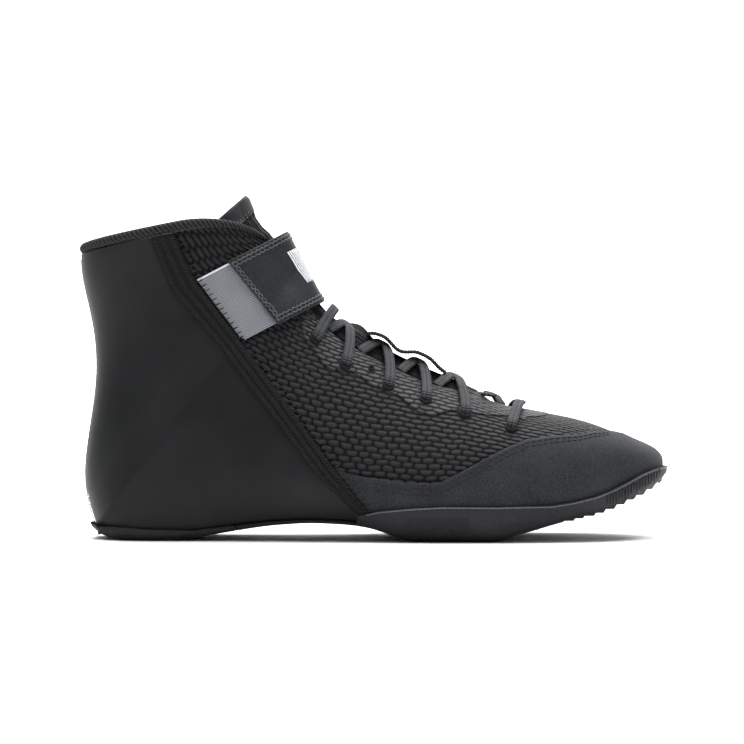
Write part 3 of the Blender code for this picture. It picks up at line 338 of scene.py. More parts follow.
class Last:
    """The outer surface of the upper: a station picks the ring, a share the place on its side."""

    def __init__(self, at: np.ndarray) -> None:
        """Works out the rings at these stations."""
        self.at = np.asarray(at, float)
        self.base_x, self.base_z = base_line(self.at)
        along = self.base_x / LENGTH
        self.crest_x = LENGTH * station_curve("crest_x", self.at, 0.0)
        self.crest_z = SHAFT_HEIGHT * station_curve("crest_z", self.at)
        foot = self.at <= HEEL_STATION
        cap = np.where(foot, toe_cap(along), 1.0)
        self.wide = BALL_HALF_WIDTH * station_curve("half_width", self.at) * cap
        self.foot = np.where(foot, footbed_half_width(along), 0.0)
        self.height = np.hypot(self.crest_x - self.base_x, self.crest_z - self.base_z)
        self.belly = self.height * station_curve("belly", self.at)
        self.roundness = station_curve("roundness", self.at)
        self.low = LOW_ROUNDNESS + HEEL_FULLNESS * np.exp(-(((self.at - HEEL_STATION) / 1.2) ** 2))
        self.base_y = BALL_HALF_WIDTH * np.where(foot, plan_curve("centre", along), 0.0)
        self.crest_y = BALL_HALF_WIDTH * station_curve("crest_y", self.at)
        below = np.hypot(self.wide - self.foot, self.belly)
        above = np.hypot(self.wide, self.height - self.belly)
        self.turn = below / (below + above)
        self.upper_arc = above
        self.inset = np.clip(self.foot / np.maximum(self.wide, 1e-9), 0, 0.995) ** self.low
        self.depth = self.belly / (1 - self.inset) ** (1 / self.low)
        self.start = np.arccos(np.sqrt(self.inset))

    def points(self, share: np.ndarray, side: np.ndarray) -> np.ndarray:
        """Points at these shares of the side's arc, from the footbed at 0 to the crest at 1."""
        wide = np.maximum(self.wide, 1e-9)
        under = np.clip(1 - share / self.turn, 0, 1) * self.start
        over = np.clip((share - self.turn) / (1 - self.turn), 0, 1) * math.pi / 2
        lower = share < self.turn
        power = np.where(lower, 2 / self.low, 2 / self.roundness)
        angle = np.where(lower, under, over)
        out = wide * np.clip(np.cos(angle), 0, 1) ** power
        rise = np.clip(np.sin(angle), 0, 1) ** power
        top = self.belly + (self.height - self.belly) * rise
        up = np.clip(np.where(lower, self.belly - self.depth * rise, top) / self.height, 0, 1)
        x = self.base_x + (self.crest_x - self.base_x) * up + LAST_ORIGIN[0]
        z = self.base_z + (self.crest_z - self.base_z) * up + LAST_ORIGIN[2]
        y = self.base_y + (self.crest_y - self.base_y) * up + side * out + LAST_ORIGIN[1]
        return np.stack(np.broadcast_arrays(x, y, z), axis=-1)

    def share_at(self, up: np.ndarray) -> np.ndarray:
        """The share of the arc where a side reaches this share of its ring's height."""
        high = np.clip(up, 0, 1) * self.height
        under = np.clip((self.belly - high) / self.depth, 0, 1) ** (self.low / 2)
        over = np.clip((high - self.belly) / (self.height - self.belly), 0, 1)
        over = over ** (self.roundness / 2)
        low_share = self.turn * (1 - np.arcsin(under) / self.start)
        high_share = self.turn + (1 - self.turn) * np.arcsin(over) / (math.pi / 2)
        return np.clip(np.where(high < self.belly, low_share, high_share), 0, 1)

    def line_share(self, rows: Sequence[SideRow]) -> np.ndarray:
        """The share at which each ring crosses a line drawn on the shoe's side."""
        line_x = LENGTH * np.array([row.along for row in rows])
        line_z = SHAFT_HEIGHT * np.array([row.up for row in rows])
        run_x, run_z = self.crest_x - self.base_x, self.crest_z - self.base_z
        from_x = line_x[None, :] - self.base_x[:, None]
        from_z = line_z[None, :] - self.base_z[:, None]
        off = from_x * run_z[:, None] - from_z * run_x[:, None]
        up = (from_x * run_x[:, None] + from_z * run_z[:, None]) / (run_x**2 + run_z**2)[:, None]
        shares = []
        for i in range(len(self.at)):
            crossing = np.nonzero(off[i, :-1] * off[i, 1:] <= 0)[0]
            if len(crossing):
                k = crossing[0]
                part = off[i, k] / (off[i, k] - off[i, k + 1] + 1e-15)
                shares.append(up[i, k] + part * (up[i, k + 1] - up[i, k]))
            else:
                shares.append(up[i, np.argmin(np.abs(off[i]))])
        return self.share_at(np.array(shares))

    def arc_share(self, distance: np.ndarray) -> np.ndarray:
        """The share that lies this far from the crest."""
        return 1 - distance * (1 - self.turn) / self.upper_arc


def linear(code: str) -> tuple[float, float, float, float]:
    """Turns an sRGB hex colour into the linear values that a shader takes."""
    parts = [int(code[i : i + 2], 16) / 255 for i in (1, 3, 5)]
    values = (c / 12.92 if c <= 0.04045 else ((c + 0.055) / 1.055) ** 2.4 for c in parts)
    return (*values, 1.0)


def add_node(
    tree: bpy.types.NodeTree, kind: str, inputs: dict, **settings: object
) -> bpy.types.Node:
    """Adds a node with its settings, values and links.

    Args:
        tree: The material's node tree.
        kind: The node's type, without the ShaderNode in front.
        inputs: Values or output sockets for its inputs, by name or number.
        **settings: Attributes of the node.

    Returns:
        The new node.
    """
    node = tree.nodes.new("ShaderNode" + kind)
    for name, value in settings.items():
        setattr(node, name, value)
    for name, value in inputs.items():
        if isinstance(value, bpy.types.NodeSocket):
            tree.links.new(value, node.inputs[name])
        else:
            node.inputs[name].default_value = value
    return node


@dataclass(frozen=True)
class Finish:
    """A finish: two sRGB tones, its gloss, and relief whose scales are real millimetres.

    The weave runs across the piece's own UV map, in millimetres; grain reads Object coordinates.
    """

    name: str
    dark: str
    light: str
    roughness: float = 0.7
    sheen: float = 0.0
    weave_mm: float = 0.0
    weave_axis: str = "Y"
    weave_wander: float = 0.0
    weave_depth_mm: float = 0.0
    cross_mm: float = 0.0
    cross_depth_mm: float = 0.0
    grain_mm: float = 0.5
    grain_depth_mm: float = 0.05
    grain_mix: float = 0.4
    wear: float = 0.15
    specular: float = 0.25
    cell_mm: tuple = ()
    cell_depth_mm: float = 0.0

    def build(self) -> bpy.types.Material:
        """Makes the material's nodes."""
        stuff = bpy.data.materials.new(self.name)
        stuff.use_nodes = True
        tree = stuff.node_tree
        shader = tree.nodes["Principled BSDF"]
        shader.inputs["Roughness"].default_value = self.roughness
        shader.inputs["Specular IOR Level"].default_value = self.specular
        shader.inputs["Sheen Weight"].default_value = self.sheen * 0.25
        shader.inputs["Sheen Roughness"].default_value = 0.4
        place = add_node(tree, "TexCoord", {})
        grain = add_node(
            tree,
            "TexNoise",
            {"Vector": place.outputs["Object"], "Scale": 1000 / self.grain_mm, "Detail": 3.0},
        )
        cloud = add_node(
            tree, "TexNoise", {"Vector": place.outputs["Object"], "Scale": 45.0, "Detail": 2.0}
        )
        tone = grain.outputs["Fac"]
        height = add_node(
            tree, "Math", {0: tone, 1: self.grain_depth_mm}, operation="MULTIPLY"
        ).outputs[0]
        if self.weave_mm:
            wave = add_node(
                tree,
                "TexWave",
                {
                    "Vector": place.outputs["UV"],
                    "Scale": math.tau / 20 / self.weave_mm,
                    "Distortion": self.weave_wander,
                    "Detail": 1.0,
                    "Detail Scale": 1.6,
                },
                bands_direction=self.weave_axis,
            )
            # The weave's bands lighten the colour where the relief rises: painted highlight on the
            # ribs' crowns and painted shade in their grooves.
            tone = add_node(
                tree,
                "Mix",
                {0: self.grain_mix, 2: wave.outputs["Fac"], 3: tone},
                data_type="FLOAT",
            ).outputs[0]
            height = add_node(
                tree,
                "Math",
                {0: wave.outputs["Fac"], 1: self.weave_depth_mm, 2: height},
                operation="MULTIPLY_ADD",
            ).outputs[0]
        if self.cross_mm:
            cross = add_node(
                tree,
                "TexWave",
                {
                    "Vector": place.outputs["UV"],
                    "Scale": math.tau / 20 / self.cross_mm,
                    "Distortion": self.weave_wander * 0.5,
                    "Detail": 1.0,
                },
                bands_direction="X" if self.weave_axis == "Y" else "Y",
            )
            # The cross bands do the same: painted highlight on their crowns and painted shade
            # between them.
            tone = add_node(
                tree, "Mix", {0: 0.3, 2: tone, 3: cross.outputs["Fac"]}, data_type="FLOAT"
            ).outputs[0]
            height = add_node(
                tree,
                "Math",
                {0: cross.outputs["Fac"], 1: self.cross_depth_mm, 2: height},
                operation="MULTIPLY_ADD",
            ).outputs[0]
        if self.cell_mm:
            tone, height = self.add_cells(tree, place.outputs["UV"], tone, height)
        worn = add_node(
            tree, "Mix", {0: self.wear, 2: tone, 3: cloud.outputs["Fac"]}, data_type="FLOAT"
        )
        ramp = add_node(tree, "ValToRGB", {"Fac": worn.outputs[0]})
        ramp.color_ramp.elements[0].position = 0.3
        ramp.color_ramp.elements[0].color = linear(self.dark)
        ramp.color_ramp.elements[1].position = 0.75
        ramp.color_ramp.elements[1].color = linear(self.light)
        tree.links.new(ramp.outputs["Color"], shader.inputs["Base Color"])
        bump = add_node(tree, "Bump", {"Height": height, "Distance": MM, "Strength": 1.0})
        tree.links.new(bump.outputs["Normal"], shader.inputs["Normal"])
        return stuff

    def add_cells(
        self, tree: bpy.types.NodeTree, flat: object, tone: object, height: object
    ) -> tuple:
        """Adds staggered knitted cells, as long and high as cell_mm says, whose domes also lighten
        the colour: painted highlight on each cell's back and painted shade round its edge.

        Args:
            tree: The material's nodes.
            flat: The map's socket, in millimetres.
            tone: The socket that mixes the two tones so far.
            height: The relief's socket so far, in millimetres.

        Returns:
            The new tone and height sockets.
        """
        drift = add_node(tree, "TexNoise", {"Vector": flat, "Scale": 0.11, "Detail": 1.0})
        moved = add_node(
            tree, "VectorMath", {0: drift.outputs["Color"], 1: (3.0, 1.6, 0.0), 2: flat},
            operation="MULTIPLY_ADD",
        )
        spot = add_node(tree, "SeparateXYZ", {"Vector": moved.outputs["Vector"]})

        def sums(operation: str, *values: object) -> object:
            """The socket of one sum."""
            return add_node(tree, "Math", dict(enumerate(values)), operation=operation).outputs[0]

        long, high = self.cell_mm
        row = sums("DIVIDE", spot.outputs["Y"], high)
        place = sums("DIVIDE", spot.outputs["X"], long)
        column = sums("MULTIPLY_ADD", sums("FLOOR", row), 0.5, place)
        over = sums("MULTIPLY_ADD", sums("FRACT", row), 2.0, -1.0)
        along = sums("ABSOLUTE", sums("MULTIPLY_ADD", sums("FRACT", column), 2.0, -1.0))
        dome = sums("SUBTRACT", 1.0, sums("MULTIPLY", over, over))
        dome = sums("MAXIMUM", sums("SUBTRACT", dome, sums("POWER", along, 4.0)), 0.0)
        # The dome lightens the tone: painted highlight on the cells' backs and painted shade at
        # their edges.
        shade = add_node(tree, "Mix", {0: 0.75, 2: tone, 3: dome}, data_type="FLOAT")
        rise = add_node(
            tree, "Math", {0: dome, 1: self.cell_depth_mm, 2: height}, operation="MULTIPLY_ADD"
        )
        return shade.outputs[0], rise.outputs[0]


class Side(Enum):
    """The two sides of the shoe: the outer one faces the camera."""

    OUTER = -1
    INNER = 1


Placing = Callable[[np.ndarray, np.ndarray], tuple[np.ndarray, np.ndarray, np.ndarray]]


class Skin:
    """A sheet made of grids that are shaped, welded and raised along their own normals."""

    def __init__(self, name: str) -> None:
        """Starts an empty sheet."""
        self.name = name
        self.mesh = bmesh.new()
        self.lift = self.mesh.verts.layers.float.new("lift")
        self.uv = self.mesh.loops.layers.uv.new("UVMap")

    def add(self, columns: int, rows: int, place: Placing, flip: bool = False) -> None:
        """Adds a grid.

        Args:
            columns: Steps along the first parameter.
            rows: Steps along the second.
            place: Gives points, a lift in metres and a map in millimetres for two arrays of shares.
            flip: Whether the faces turn round.
        """
        new = bmesh.ops.create_grid(self.mesh, x_segments=columns, y_segments=rows, size=0.5)
        verts = new["verts"]
        a = np.array([v.co.x + 0.5 for v in verts])
        b = np.array([v.co.y + 0.5 for v in verts])
        points, lift, flat = place(np.clip(a, 0, 1), np.clip(b, 0, 1))
        lift = np.broadcast_to(lift, a.shape)
        spot = {}
        for i, v in enumerate(verts):
            v.co = points[i]
            v[self.lift] = float(lift[i])
            spot[v] = (float(flat[i, 0]), float(flat[i, 1]))
        faces = list({face for v in verts for face in v.link_faces})
        for face in faces:
            for loop in face.loops:
                loop[self.uv].uv = spot[loop.vert]
        if flip:
            bmesh.ops.reverse_faces(self.mesh, faces=faces)

    def calm(self, station: float, reach: float, rounds: int) -> None:
        """Evens out the sheet on both sides of one ring of the last.

        Args:
            station: The ring, whose line is straight when seen from the side.
            reach: How far from the ring points move, in metres.
            rounds: How often they are moved towards their neighbours.
        """
        ring = Last(np.array([station]))
        base = np.array([ring.base_x[0] + LAST_ORIGIN[0], ring.base_z[0]])
        way = np.array([ring.crest_x[0] + LAST_ORIGIN[0], ring.crest_z[0]]) - base
        way /= np.linalg.norm(way)
        bmesh.ops.remove_doubles(self.mesh, verts=self.mesh.verts[:], dist=WELD)
        near = [
            v for v in self.mesh.verts if not v.is_boundary
            and abs((v.co.x - base[0]) * way[1] - (v.co.z - base[1]) * way[0]) < reach
        ]
        even_out(self.mesh, near, rounds)

    def close(self) -> None:
        """Welds the grids and raises every point by its lift."""
        bmesh.ops.remove_doubles(self.mesh, verts=self.mesh.verts[:], dist=WELD)
        self.mesh.normal_update()
        normals = [v.normal.copy() for v in self.mesh.verts]
        for v, normal in zip(self.mesh.verts, normals):
            v.co += normal * v[self.lift]

    def piece(self, finish: bpy.types.Material, slot: str, **words: object) -> bpy.types.Object:
        """Closes the sheet and makes it a piece."""
        self.close()
        return make_piece(self.name, self.mesh, finish, slot, **words)


def even_out(mesh: bmesh.types.BMesh, verts: list, rounds: int) -> None:
    """Moves points towards the middle of their neighbours, this many times."""
    for _ in range(rounds):
        bmesh.ops.smooth_vert(
            mesh, verts=verts, factor=0.5, use_axis_x=True, use_axis_y=True, use_axis_z=True
        )


def make_piece(
    name: str,
    mesh: bmesh.types.BMesh,
    finish: bpy.types.Material,
    slot: str,
    replaces: Sequence[str] = (),
    wall: float = 0.0,
    outward: bool = False,
    padded: Optional[float] = None,
    rim: Optional[bpy.types.Material] = None,
) -> bpy.types.Object:
    """Turns a bmesh into a piece that rides on the shoe.

    Args:
        name: The piece's name.
        mesh: Its shape, which is freed.
        finish: Its material.
        slot: The record's material slot; not used.
        replaces: CAD nodes that the piece stands for.
        wall: Thickness to give an open sheet.
        outward: Whether the wall grows outward.
        padded: Fill, where the piece is a pad; not used.
        rim: A second material for the inner face and the cut edge.

    Returns:
        The piece.
    """
    data = bpy.data.meshes.new(name)
    mesh.to_mesh(data)
    mesh.free()
    data.materials.append(finish)
    if rim:
        data.materials.append(rim)
    for face in data.polygons:
        face.use_smooth = True
    piece = bpy.data.objects.new(name, data)
    bpy.context.scene.collection.objects.link(piece)
    if wall:
        solid = piece.modifiers.new("wall", "SOLIDIFY")
        solid.thickness = wall
        solid.offset = 1 if outward else -1
        if rim:
            solid.material_offset = 1
            solid.material_offset_rim = 1
    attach(piece, "root")
    if replaces:
        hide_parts(*replaces)
    LOG.info("%s: %d faces", name, len(data.polygons))
    return piece


def flat_map(points: np.ndarray) -> np.ndarray:
    """A side view map in millimetres, turned so that cloth ribs fall a little towards the toe."""
    turn = math.atan(RIB_SLOPE)
    along = points[:, 0] * math.cos(turn) - points[:, 2] * math.sin(turn)
    up = points[:, 2] * math.cos(turn) + points[:, 0] * math.sin(turn)
    return np.stack([along, up], axis=1) / MM


def cloth_map(last: Last, points: np.ndarray, share: np.ndarray) -> np.ndarray:
    """A map whose ribs run along the foot, counted down from the crest, in millimetres."""
    turn = math.atan(RIB_SLOPE)
    crest_x = last.crest_x + LAST_ORIGIN[0]
    down = (1 - share) * last.upper_arc / (1 - last.turn)
    up = last.crest_z * math.cos(turn) + crest_x * math.sin(turn) - down
    along = points[:, 0] * math.cos(turn) - points[:, 2] * math.sin(turn)
    return np.stack([along, up], axis=1) / MM


THROAT_STATION = 4.45
CORNER_STATIONS = 3.4
CORNER_DROP = 0.031
THROAT_LINE = (
    (4.45, 0.0), (4.5, 0.16), (4.65, 0.30), (5.2, 0.46), (5.9, 0.72), (6.7, 0.98), (7.7, 1.0),
    (10.0, 0.97), (14.0, 0.87), (17.0, 0.88), (20.0, 0.88),
)
WRAP_TIP = 2.25
WRAP_ROUND = 1.15
SHELL_FRONT = 6.79
HEEL_CORNER_REACH = 0.014
SHELL_ROUNDS = 40
CUP_ROUNDS = 34
FILM_ENDS = (4.0, 11.6)
FILM_WALL = 0.00015
FLOOR_PART = 0.62
TOE_RIBS = (0.812, 0.972)
TOE_RIB_PITCH = 0.005
SEAM_BAND_WIDTH = 0.0078
SEAM_BAND_LIFT = OVERLAY_WALL + 2 * GAP


def throat_share(last: Last) -> np.ndarray:
    """The share where the upper's edge lies: the crest on the vamp, the throat's edge above it."""
    at, wide = np.array(THROAT_LINE).T
    width = THROAT_HALF_WIDTH * hermite(at, wide, slopes_monotone(at, wide), last.at)
    corner = np.clip((last.at - COLLAR_STATION + CORNER_STATIONS) / CORNER_STATIONS, 0, 1)
    width = width + CORNER_DROP * (1 - np.sqrt(1 - corner**2))
    return last.arc_share(width)


def seam_share(last: Last) -> np.ndarray:
    """The share of the heel shell's front seam."""
    return np.where(last.at < SHELL_FRONT, 0.0, last.line_share(SEAM_LINE))


def wrap_share(last: Last) -> np.ndarray:
    """The share of the toe wrap's upper edge."""
    full = Last(np.array([WRAP_TIP + WRAP_ROUND])).line_share(WRAP_LINE)[0]
    tip = np.clip((last.at - WRAP_TIP) / WRAP_ROUND, 0, 1)
    return np.where(tip < 1, 1 - (1 - full) * np.sqrt(tip), last.line_share(WRAP_LINE))


class Curves:
    """Share lines worked out once along the last and then read at any station."""

    def __init__(self) -> None:
        """Samples every line densely."""
        whole, tip = np.linspace(0, 20.9, 1400), np.linspace(2.2, 3.5, 200)
        self.at = np.unique(np.concatenate([whole, tip]))
        last = Last(self.at)
        self.throat = throat_share(last)
        self.seam = seam_share(last)
        self.wrap = np.minimum(wrap_share(last), self.throat)
        self.rim = np.clip(last.line_share(RIM_LINE), 0, 1)

    def read(self, line: np.ndarray, at: np.ndarray) -> np.ndarray:
        """A line's share at these stations."""
        return np.interp(at, self.at, line)


CURVES = Curves()
KNOTS = (0, 0.3, 0.9, 2.2, 2.6, 4.4, 4.52, 5.3, 8, 12.2, 12.8, 13.2, 14, 18, 19.2, 19.66, 19.76)


def stations(share: np.ndarray, low: float, high: float) -> np.ndarray:
    """Stations between two ends, packed closer where the shoe turns sharply."""
    inner = [knot for knot in KNOTS if low < knot < high]
    knots = np.array([low] + inner + [high], float)
    weight = np.sqrt(np.diff(knots))
    places = np.concatenate([[0], np.cumsum(weight)]) / weight.sum()
    return np.interp(share, places, knots)


class Finishes:
    """Every finish on the shoe."""

    def __init__(self) -> None:
        """Builds the materials."""
        # Knitted polyester mesh: wavy ribs and cells whose lighter backs are a painted dull
        # highlight, and black between
        self.mesh = Finish("knitted_mesh", "#010102", "#252528", 0.6, 0.06, 0.75, "DIAGONAL", 0.5,
                           0.08, grain_mm=0.45, grain_depth_mm=0.06, wear=0.2, cell_mm=(6.1, 2.25),
                           cell_depth_mm=0.8, specular=0.14).build()
        # Fused film over the mesh: smoother and lighter, with soft ridges from the mesh below whose
        # lighter crowns are a painted highlight
        self.film = Finish("fused_film", "#060607", "#323235", 0.5, 0.05, grain_mm=0.6,
                           grain_depth_mm=0.03, wear=0.3, cell_mm=(6.1, 2.25),
                           cell_depth_mm=0.55, specular=0.16).build()
        # Polyurethane synthetic: smooth, dark, with a fine pore grain that dulls its sheen
        self.synthetic = Finish("coated_synthetic", "#101112", "#1d1e20", 0.50, 0.08, grain_mm=0.35,
                                grain_depth_mm=0.05, wear=0.5, specular=0.18).build()
        # Brushed microfibre: a short nap that speckles blue grey
        self.suede = Finish("brushed_microfibre", "#0c0d0f", "#393c41", 0.88, 0.35, grain_mm=0.55,
                            grain_depth_mm=0.14, wear=0.3).build()
        # Gum rubber, moulded and matt, with a dusty bloom
        self.rubber = Finish("moulded_rubber", "#131416", "#26272a", 0.62, 0.05, grain_mm=0.8,
                             grain_depth_mm=0.05, wear=0.5).build()
        # The rubber's rim: its pale colour is a painted highlight where the light catches the rim
        self.bead = Finish("painted_highlight_rim", "#3c3d40", "#6a6c70", 0.4, grain_mm=0.5, wear=0.3).build()
        # Knitted piping: fine slanting loops
        self.piping = Finish("knitted_piping", "#0a0a0b", "#2c2d30", 0.8, 0.25, 1.1, "DIAGONAL",
                             1.2, 0.25, 0.0, 0.0, 0.4, 0.05, 0.35).build()
        # Flat woven lace: short ribs across, with a painted highlight on their crowns
        self.lace = Finish("woven_lace", "#131416", "#4a4c50", 0.75, 0.2, 0.9, "X", 0.4, 0.16,
                           0.85, 0.12, 0.35, 0.05, 0.3).build()
        # Ribbed elastic webbing: pale grey with fine ribs along it
        self.elastic = Finish("ribbed_elastic", "#62656b", "#8f9399", 0.75, 0.2, 1.0, "Y", 0.15,
                              0.12, 0.6, 0.03, 0.4, 0.03, 0.3).build()
        # Polyester thread: pale where the light catches its twist
        self.thread = Finish("polyester_thread", "#2a2b2e", "#6c6f74", 0.35, 0.2,
                             grain_mm=0.4).build()
        # Retroreflective film
        self.reflective = Finish("reflective_film", "#c9ccd2", "#eef0f3", 0.35, 0.0, grain_mm=0.3,
                                 grain_depth_mm=0.01).build()
        # Brushed tricot lining
        self.lining = Finish("tricot_lining", "#0a0a0b", "#1a1a1c", 0.9, 0.3, 1.2, "Y", 0.6, 0.12,
                             0.9, 0.06, 0.4, 0.05, 0.3).build()
        # Smooth tricot tape folded over an edge: grey with hardly any grain
        self.band = Finish("folded_tricot", "#1a1b1d", "#303235", 0.7, 0.2, grain_mm=0.5,
                           grain_depth_mm=0.03).build()
        # Overlock tape: matt black knit under the loops
        self.tape = Finish("overlock_tape", "#040405", "#101011", 0.85, 0.2, grain_mm=0.7,
                           grain_depth_mm=0.2).build()
        # Textured black thread of the overlock and the toe rows
        self.dark_thread = Finish("textured_thread", "#070708", "#232426", 0.6, 0.2,
                                  grain_mm=0.4).build()
        # Strap laminate: smooth dark grey with a faint leathery print
        self.strap = Finish("strap_laminate", "#161819", "#282a2c", 0.5, 0.05, grain_mm=1.6,
                            grain_depth_mm=0.05, wear=0.4).build()
        # The laminate's cut edge, where its pale foam core shows
        self.cut_edge = Finish("foam_core", "#2f3134", "#4c4f53", 0.8, 0.0).build()
        # A pale strip along the elastic's upper edge: a painted highlight
        self.highlight_edge = Finish("painted_highlight_edge", "#b9bcc2", "#e4e6ea", 0.7, 0.1,
                                grain_mm=0.6).build()
        # Spacer mesh on the tongue: ribs that run up the leg
        self.tongue = Finish("spacer_mesh", "#050506", "#222225", 0.7, 0.15, 1.7, "X", 1.4, 0.35,
                             1.1, 0.10, 0.4, 0.05, 0.25).build()


class Maker:
    """What makes pieces from the shared finishes."""

    def __init__(self, finishes: Finishes) -> None:
        """Keeps the finishes."""
        self.finishes = finishes


class Upper(Maker):
    """The mesh upper with its lining, and the fused film round the throat."""

    def side(self, side: Side) -> Placing:
        """Places one side of the mesh, from the footbed to the throat."""

        def place(a: np.ndarray, b: np.ndarray) -> tuple:
            """Station and share from the grid's own shares."""
            at = stations(a, 0.0, COLLAR_STATION)
            last = Last(at)
            share = b * CURVES.read(CURVES.throat, at)
            points = last.points(share, side.value)
            return points, np.zeros(len(a)), cloth_map(last, points, share)

        return place

    def build(self) -> None:
        """Makes the upper and the film."""
        skin = Skin("upper_mesh")
        for side in Side:
            skin.add(230, 64, self.side(side), flip=side is Side.OUTER)
        skin.piece(
            self.finishes.mesh, "mesh_cloth", replaces=["upper"], wall=UPPER_WALL,
            rim=self.finishes.lining,
        )
        film = Skin("throat_film")
        for side in Side:
            film.add(190, 18, self.film_side(side), flip=side is Side.OUTER)
        film.piece(self.finishes.film, "mesh_cloth", wall=FILM_WALL, outward=True)

    def film_side(self, side: Side) -> Placing:
        """Places the film from the throat's edge down past the eyelets."""

        def place(a: np.ndarray, b: np.ndarray) -> tuple:
            """The film's lower edge waves and draws in at both ends."""
            at = stations(a, *FILM_ENDS)
            last = Last(at)
            edge = CURVES.read(CURVES.throat, at)
            reach = 0.0165 + 0.0018 * np.sin(at * 2.1) + 0.0012 * np.sin(at * 4.7 + 1)
            ends = np.minimum((at - FILM_ENDS[0]) / 0.8, (FILM_ENDS[1] - at) / 1.2)
            ends = np.clip(ends, 0, 1)
            reach = reach * np.sqrt(1 - (1 - ends) ** 2) + (at < 4.6) * 0.002
            low = edge - reach * (1 - last.turn) / last.upper_arc
            share = low + (edge - low) * b
            points = last.points(share, side.value)
            return points, np.full(len(a), 0.0001), cloth_map(last, points, share)

        return place


class Eyelets(Maker):
    """The punched holes along both sides of the throat, and the one left unlaced, each with a dark
    dish that is painted shade inside the hole.
    """

    def build(self) -> None:
        """Makes a dished ring at every hole."""
        skin = Skin("punched_eyelets")
        for row in HOLES:
            at, share = place_on_side(row)
            radius = SPARE_HOLE_RADIUS if row is HOLES[-1] else EYELET_RADIUS
            for side in (-1, 1):
                point, along, up, normal = (
                    v[0] for v in shoe_frames(np.array([at]), np.array([share]), side)
                )
                point = point + normal * EYELET_RISE - up * EYELET_DROP
                self.add(skin, point, along, np.cross(normal, along), normal, radius)
        # The dark finish of the dishes stands for the holes' insides: painted shade; the rolled
        # edges are real.
        skin.piece(self.finishes.tape, "mesh_cloth")

    def add(self, skin: Skin, point: np.ndarray, along: np.ndarray, up: np.ndarray,
            normal: np.ndarray, radius: float) -> None:
        """Adds one ring: a rolled edge round a dark dish, which is painted shade in the hole."""

        def place(a: np.ndarray, b: np.ndarray) -> tuple:
            """a runs from the middle outwards and b round the hole."""
            far = radius * a * 1.12
            rise = 0.0006 * np.sin(np.clip((a - 0.5) / 0.5, 0, 1) * math.pi) - 0.0005 * (a == 1)
            turn = b * math.tau
            points = (
                point
                + np.outer(far * np.cos(turn), along)
                + np.outer(far * np.sin(turn), up)
                + np.outer(rise, normal)
            )
            return points, np.zeros(len(a)), np.stack([a, b], axis=1)

        skin.add(9, 16, place)


class HeelShell(Maker):
    """The smooth shell round the heel with its overlocked front seam."""

    def side(self, side: Side) -> Placing:
        """Places one side of the shell."""

        def place(a: np.ndarray, b: np.ndarray) -> tuple:
            """From the footbed up to the seam."""
            at = stations(a, 6.8, COLLAR_STATION)
            last = Last(at)
            share = b * np.maximum(CURVES.read(CURVES.seam, at), 0.02) - 0.002 * b
            points = last.points(share, side.value)
            return points, np.full(len(a), GAP), flat_map(points)

        return place

    def build(self) -> None:
        """Makes the shell."""
        skin = Skin("heel_cover")
        for side in Side:
            skin.add(190, 60, self.side(side), flip=side is Side.OUTER)
        skin.calm(HEEL_STATION, HEEL_CORNER_REACH, SHELL_ROUNDS)
        skin.piece(
            self.finishes.synthetic, "synthetic", replaces=["heel_shell"], wall=OVERLAY_WALL,
            outward=True,
        )


class ToeWrap(Maker):
    """The brushed wrap round the toe."""

    def side(self, side: Side) -> Placing:
        """Places one side of the wrap."""

        def place(a: np.ndarray, b: np.ndarray) -> tuple:
            """From the footbed, or the seam behind, up to the wrap's edge."""
            at = stations(a, 0.0, 8.55)
            last = Last(at)
            low = np.where(at < SHELL_FRONT, 0.0, CURVES.read(CURVES.seam, at) + 0.003)
            high = np.maximum(CURVES.read(CURVES.wrap, at), low)
            share = low + (high - low) * b
            points = last.points(share, side.value)
            return points, np.full(len(a), GAP), flat_map(points)

        return place

    def build(self) -> None:
        """Makes the wrap."""
        skin = Skin("toe_cover")
        for side in Side:
            skin.add(190, 34, self.side(side), flip=side is Side.OUTER)
        skin.piece(
            self.finishes.suede, "suede", replaces=["toe_wrap"], wall=OVERLAY_WALL, outward=True
        )


